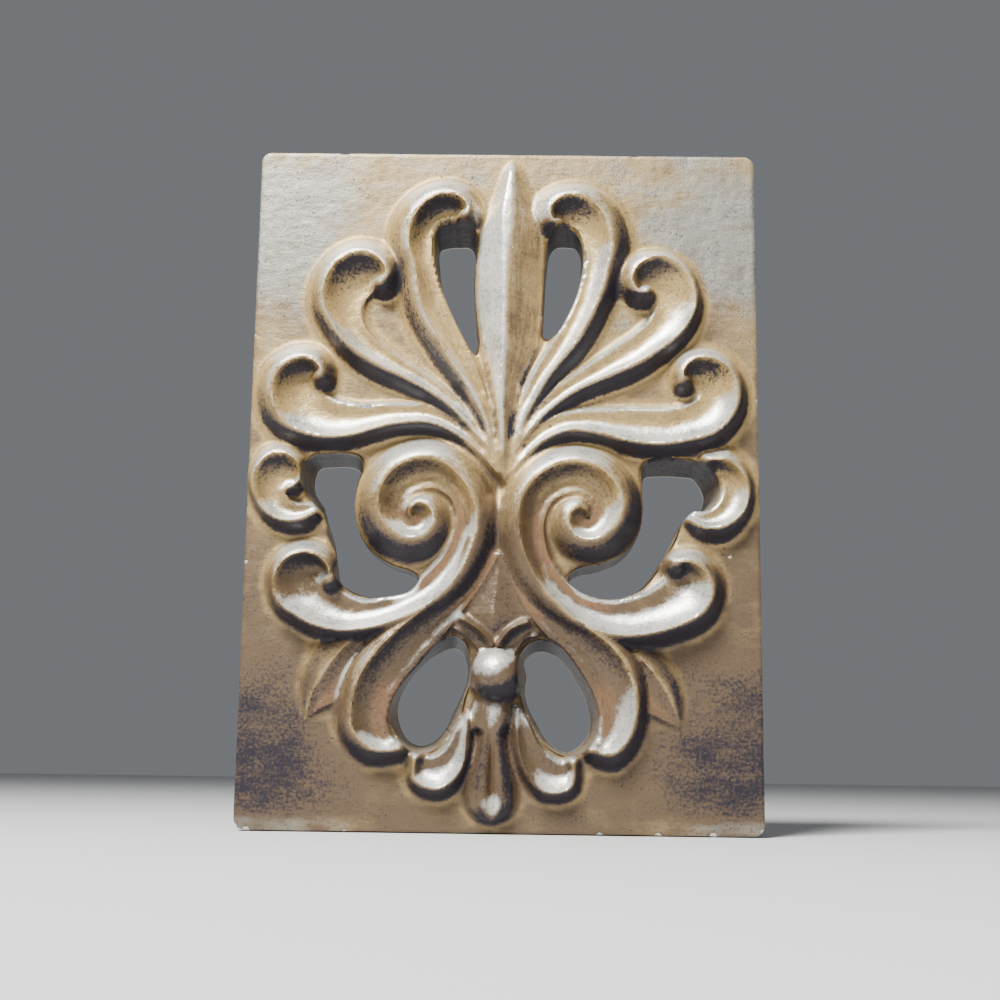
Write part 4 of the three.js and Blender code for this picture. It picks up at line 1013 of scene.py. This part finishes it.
def aged_paint_and_painted_light(settings):
    """Bronze, gold and silver paint on plaster, brushed and rubbed, with the painted highlight of the silver tone
    and the painted shade of the dark tone.
    """
    art = Shader("aged bronze paint and painted light")
    plain = art.stretched((1, 1, 1))
    cloud = art.noise(plain, 90, 8, 0.62)
    grain = art.noise(plain, 900, 4, 0.7)
    brushed = art.noise(art.stretched((0.3, 1, 1), 0.25), 420, 6, 0.75)
    flow = art.nodes.new("ShaderNodeCombineXYZ")
    art.link(art.math("MULTIPLY", art.tone("run"), 0.09), flow.inputs[0])
    art.link(art.math("MULTIPLY", art.tone("across"), 3.6), flow.inputs[1])
    art.link(art.tone("plate"), flow.inputs[2])
    rubbed = art.noise(flow.outputs[0], 2.6, 7, 0.72)
    flat = art.tone("plate")
    rubbed = art.math("ADD", art.math("MULTIPLY", rubbed, art.math("SUBTRACT", 1, flat)),
                      art.math("MULTIPLY", brushed, flat))

    def broken(tone, *parts):
        value = art.tone(tone)
        for noise_value, strength in parts:
            sway = art.math("MULTIPLY", art.math("SUBTRACT", noise_value, 0.5), strength)
            value = art.math("ADD", value, sway)
        return value

    brown, gold, silver, pewter, dark, copper, plaster = (
        (*colour, 1) for colour in (settings.brown, settings.gold, settings.silver, settings.pewter,
                                    settings.dark, settings.copper, settings.plaster))
    gold_share = art.step(broken("gold", (cloud, 1.1), (grain, 0.9), (rubbed, 0.7)), 0.2, 0.95)
    silver_share = art.step(broken("silver", (cloud, 1.0), (rubbed, 0.9), (grain, 0.9)), 0.24, 0.9)
    dark_share = art.step(broken("dark", (rubbed, 1.2), (cloud, 0.7), (grain, 1.7)), 0.22, 1.0)
    copper_share = art.step(broken("copper", (rubbed, 1.0), (cloud, 0.8), (grain, 0.5)), 0.3, 1.3)
    colour = art.mix(gold_share, brown, gold)
    colour = art.mix(copper_share, colour, copper)
    dull = art.math("MAXIMUM", flat, art.math("MULTIPLY", art.step(cloud, 0.42, 0.62), 0.45))
    # The silver share carries painted highlight as well as the silver paint, and the dark share below carries
    # painted shade.
    colour = art.mix(silver_share, colour, art.mix(dull, silver, pewter))
    colour = art.mix(art.math("MULTIPLY", flat, 0.48), colour, brown)
    colour = art.mix(dark_share, colour, dark)
    soot = art.step(art.math("ADD", grain, art.math("MULTIPLY", cloud, 0.5)), 0.72, 0.98)
    colour = art.mix(art.math("MULTIPLY", soot, 0.55), colour, dark)

    pits = art.nodes.new("ShaderNodeTexVoronoi")
    art.link(plain, pits.inputs["Vector"])
    pits.inputs["Scale"].default_value = 380
    pit = art.math("MULTIPLY", art.step(pits.outputs["Distance"], 0.16, 0.08),
                   art.step(art.noise(plain, 60, 3), 0.48, 0.6))
    colour = art.mix(art.math("MULTIPLY", pit, 0.6), colour, dark)
    colour = art.mix(art.step(broken("chip", (grain, 0.6)), 0.3, 0.5), colour, plaster)

    place = art.nodes.new("ShaderNodeSeparateXYZ")
    art.link(art.nodes.new("ShaderNodeTexCoord").outputs["Object"], place.inputs[0])
    back = art.step(place.outputs["Y"], -0.0009, -0.0003)
    smear = art.step(cloud, 0.5, 0.72)
    colour = art.mix(back, colour, art.mix(art.math("MULTIPLY", smear, 0.35), plaster, brown))
    art.link(colour, art.surface.inputs["Base Color"])

    metal = art.math("MULTIPLY_ADD", silver_share, 0.25, 0.35)
    metal = art.math("MULTIPLY", metal, art.math("SUBTRACT", 1, art.math("MAXIMUM", back, dark_share)))
    art.link(metal, art.surface.inputs["Metallic"])
    art.link(art.math("MULTIPLY_ADD", dark_share, -0.3, 0.5), art.surface.inputs["Specular IOR Level"])
    rough = art.math("MULTIPLY_ADD", brushed, 0.3, 0.16)
    rough = art.math("ADD", rough, art.math("MULTIPLY", flat, 0.14))
    art.link(art.math("ADD", rough, art.math("MULTIPLY", back, 0.3)), art.surface.inputs["Roughness"])

    bump = art.nodes.new("ShaderNodeBump")
    bump.inputs["Strength"].default_value = 0.7
    bump.inputs["Distance"].default_value = 0.4 * MM
    relief = art.math("ADD", art.math("MULTIPLY", grain, 0.42), art.math("MULTIPLY", rubbed, 0.5))
    relief = art.math("ADD", relief, art.math("MULTIPLY", cloud, 0.7))
    art.link(art.math("SUBTRACT", relief, pit), bump.inputs["Height"])
    art.link(bump.outputs[0], art.surface.inputs["Normal"])
    return art.material


class PLAQUE_OT_casting(bpy.types.Operator):
    """Carve the plaque's casting, pierce it and paint it"""

    bl_idname = "plaque.casting"
    bl_label = "Casting"

    def execute(self, context):
        settings = context.scene.plaque_casting
        piece = mesh_object(carve_plaque(settings), "palmette_casting")
        piece.data.materials.append(aged_paint_and_painted_light(settings))
        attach(piece, "root")
        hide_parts("plaque")
        return {"FINISHED"}


# Where the camera stands, in millimetres, and how it turns, in degrees.
CAMERA_PLACE = (4.72, -537.3, -101.3)
CAMERA_YAW, CAMERA_PITCH, CAMERA_ROLL = 0.636, 10.318, 0.786


class PLAQUE_OT_stage(bpy.types.Operator):
    """Set the floor, the soft lights and the camera"""

    bl_idname = "plaque.stage"
    bl_label = "Stage"

    def execute(self, context):
        settings = context.scene.plaque_stage
        scene = context.scene
        bm = bmesh.new()
        bmesh.ops.create_grid(bm, x_segments=1, y_segments=1, size=4)
        bmesh.ops.translate(bm, vec=(0, 0, LOW[2] - 0.0002), verts=bm.verts)
        floor = mesh_object(bm, "floor")
        material = bpy.data.materials.new("pale floor")
        material.use_nodes = True
        shader = material.node_tree.nodes["Principled BSDF"]
        shader.inputs["Base Color"].default_value = (*settings.floor_colour, 1)
        shader.inputs["Roughness"].default_value = 0.8
        floor.data.materials.append(material)

        world = bpy.data.worlds.new("studio")
        world.use_nodes = True
        world.node_tree.nodes["Background"].inputs["Color"].default_value = (0.72, 0.75, 0.8, 1)
        world.node_tree.nodes["Background"].inputs["Strength"].default_value = 0.24
        scene.world = world
        area_light("key", (-0.3, -0.6, 0.8), (0, 0, 0), 0.4, settings.key)
        area_light("fill", (0.5, -0.9, 0.1), (0, 0, 0), 0.6, settings.fill)

        camera = bpy.data.cameras.new("camera")
        camera.sensor_width = 36
        camera.lens = settings.lens
        holder = bpy.data.objects.new("camera", camera)
        turn = (Matrix.Rotation(math.radians(CAMERA_YAW), 4, "Z")
                @ Matrix.Rotation(math.radians(90 + CAMERA_PITCH), 4, "X")
                @ Matrix.Rotation(math.radians(CAMERA_ROLL), 4, "Z"))
        holder.matrix_world = Matrix.Translation(Vector(CAMERA_PLACE) * MM) @ turn
        scene.collection.objects.link(holder)
        scene.camera = holder
        return {"FINISHED"}


def area_light(name, place, target, size, power):
    light = bpy.data.lights.new(name, "AREA")
    light.shape = "DISK"
    light.size = size
    light.energy = power
    holder = bpy.data.objects.new(name, light)
    holder.location = place
    holder.rotation_euler = (Vector(target) - Vector(place)).to_track_quat("-Z", "Y").to_euler()
    bpy.context.scene.collection.objects.link(holder)


class PLAQUE_PT_sidebar(bpy.types.Panel):
    bl_label = "Plaque"
    bl_idname = "PLAQUE_PT_sidebar"
    bl_space_type = "VIEW_3D"
    bl_region_type = "UI"
    bl_category = "Plaque"

    def draw(self, context):
        scene = context.scene
        groups = (("plaque.casting", scene.plaque_casting), ("plaque.stage", scene.plaque_stage))
        for operator, group in groups:
            box = self.layout.box()
            for name in group.bl_rna.properties.keys():
                if name not in ("rna_type", "name"):
                    box.prop(group, name)
            box.operator(operator)


CLASSES = (PlaqueCasting, PlaqueStage, PLAQUE_OT_casting, PLAQUE_OT_stage, PLAQUE_PT_sidebar)


def register():
    for cls in CLASSES:
        bpy.utils.register_class(cls)
    bpy.types.Scene.plaque_casting = bpy.props.PointerProperty(type=PlaqueCasting)
    bpy.types.Scene.plaque_stage = bpy.props.PointerProperty(type=PlaqueStage)


def unregister():
    del bpy.types.Scene.plaque_stage
    del bpy.types.Scene.plaque_casting
    for cls in reversed(CLASSES):
        bpy.utils.unregister_class(cls)


def main():
    register()
    bpy.ops.plaque.stage()
    bpy.ops.plaque.casting()


if __name__ == "__main__":
    main()
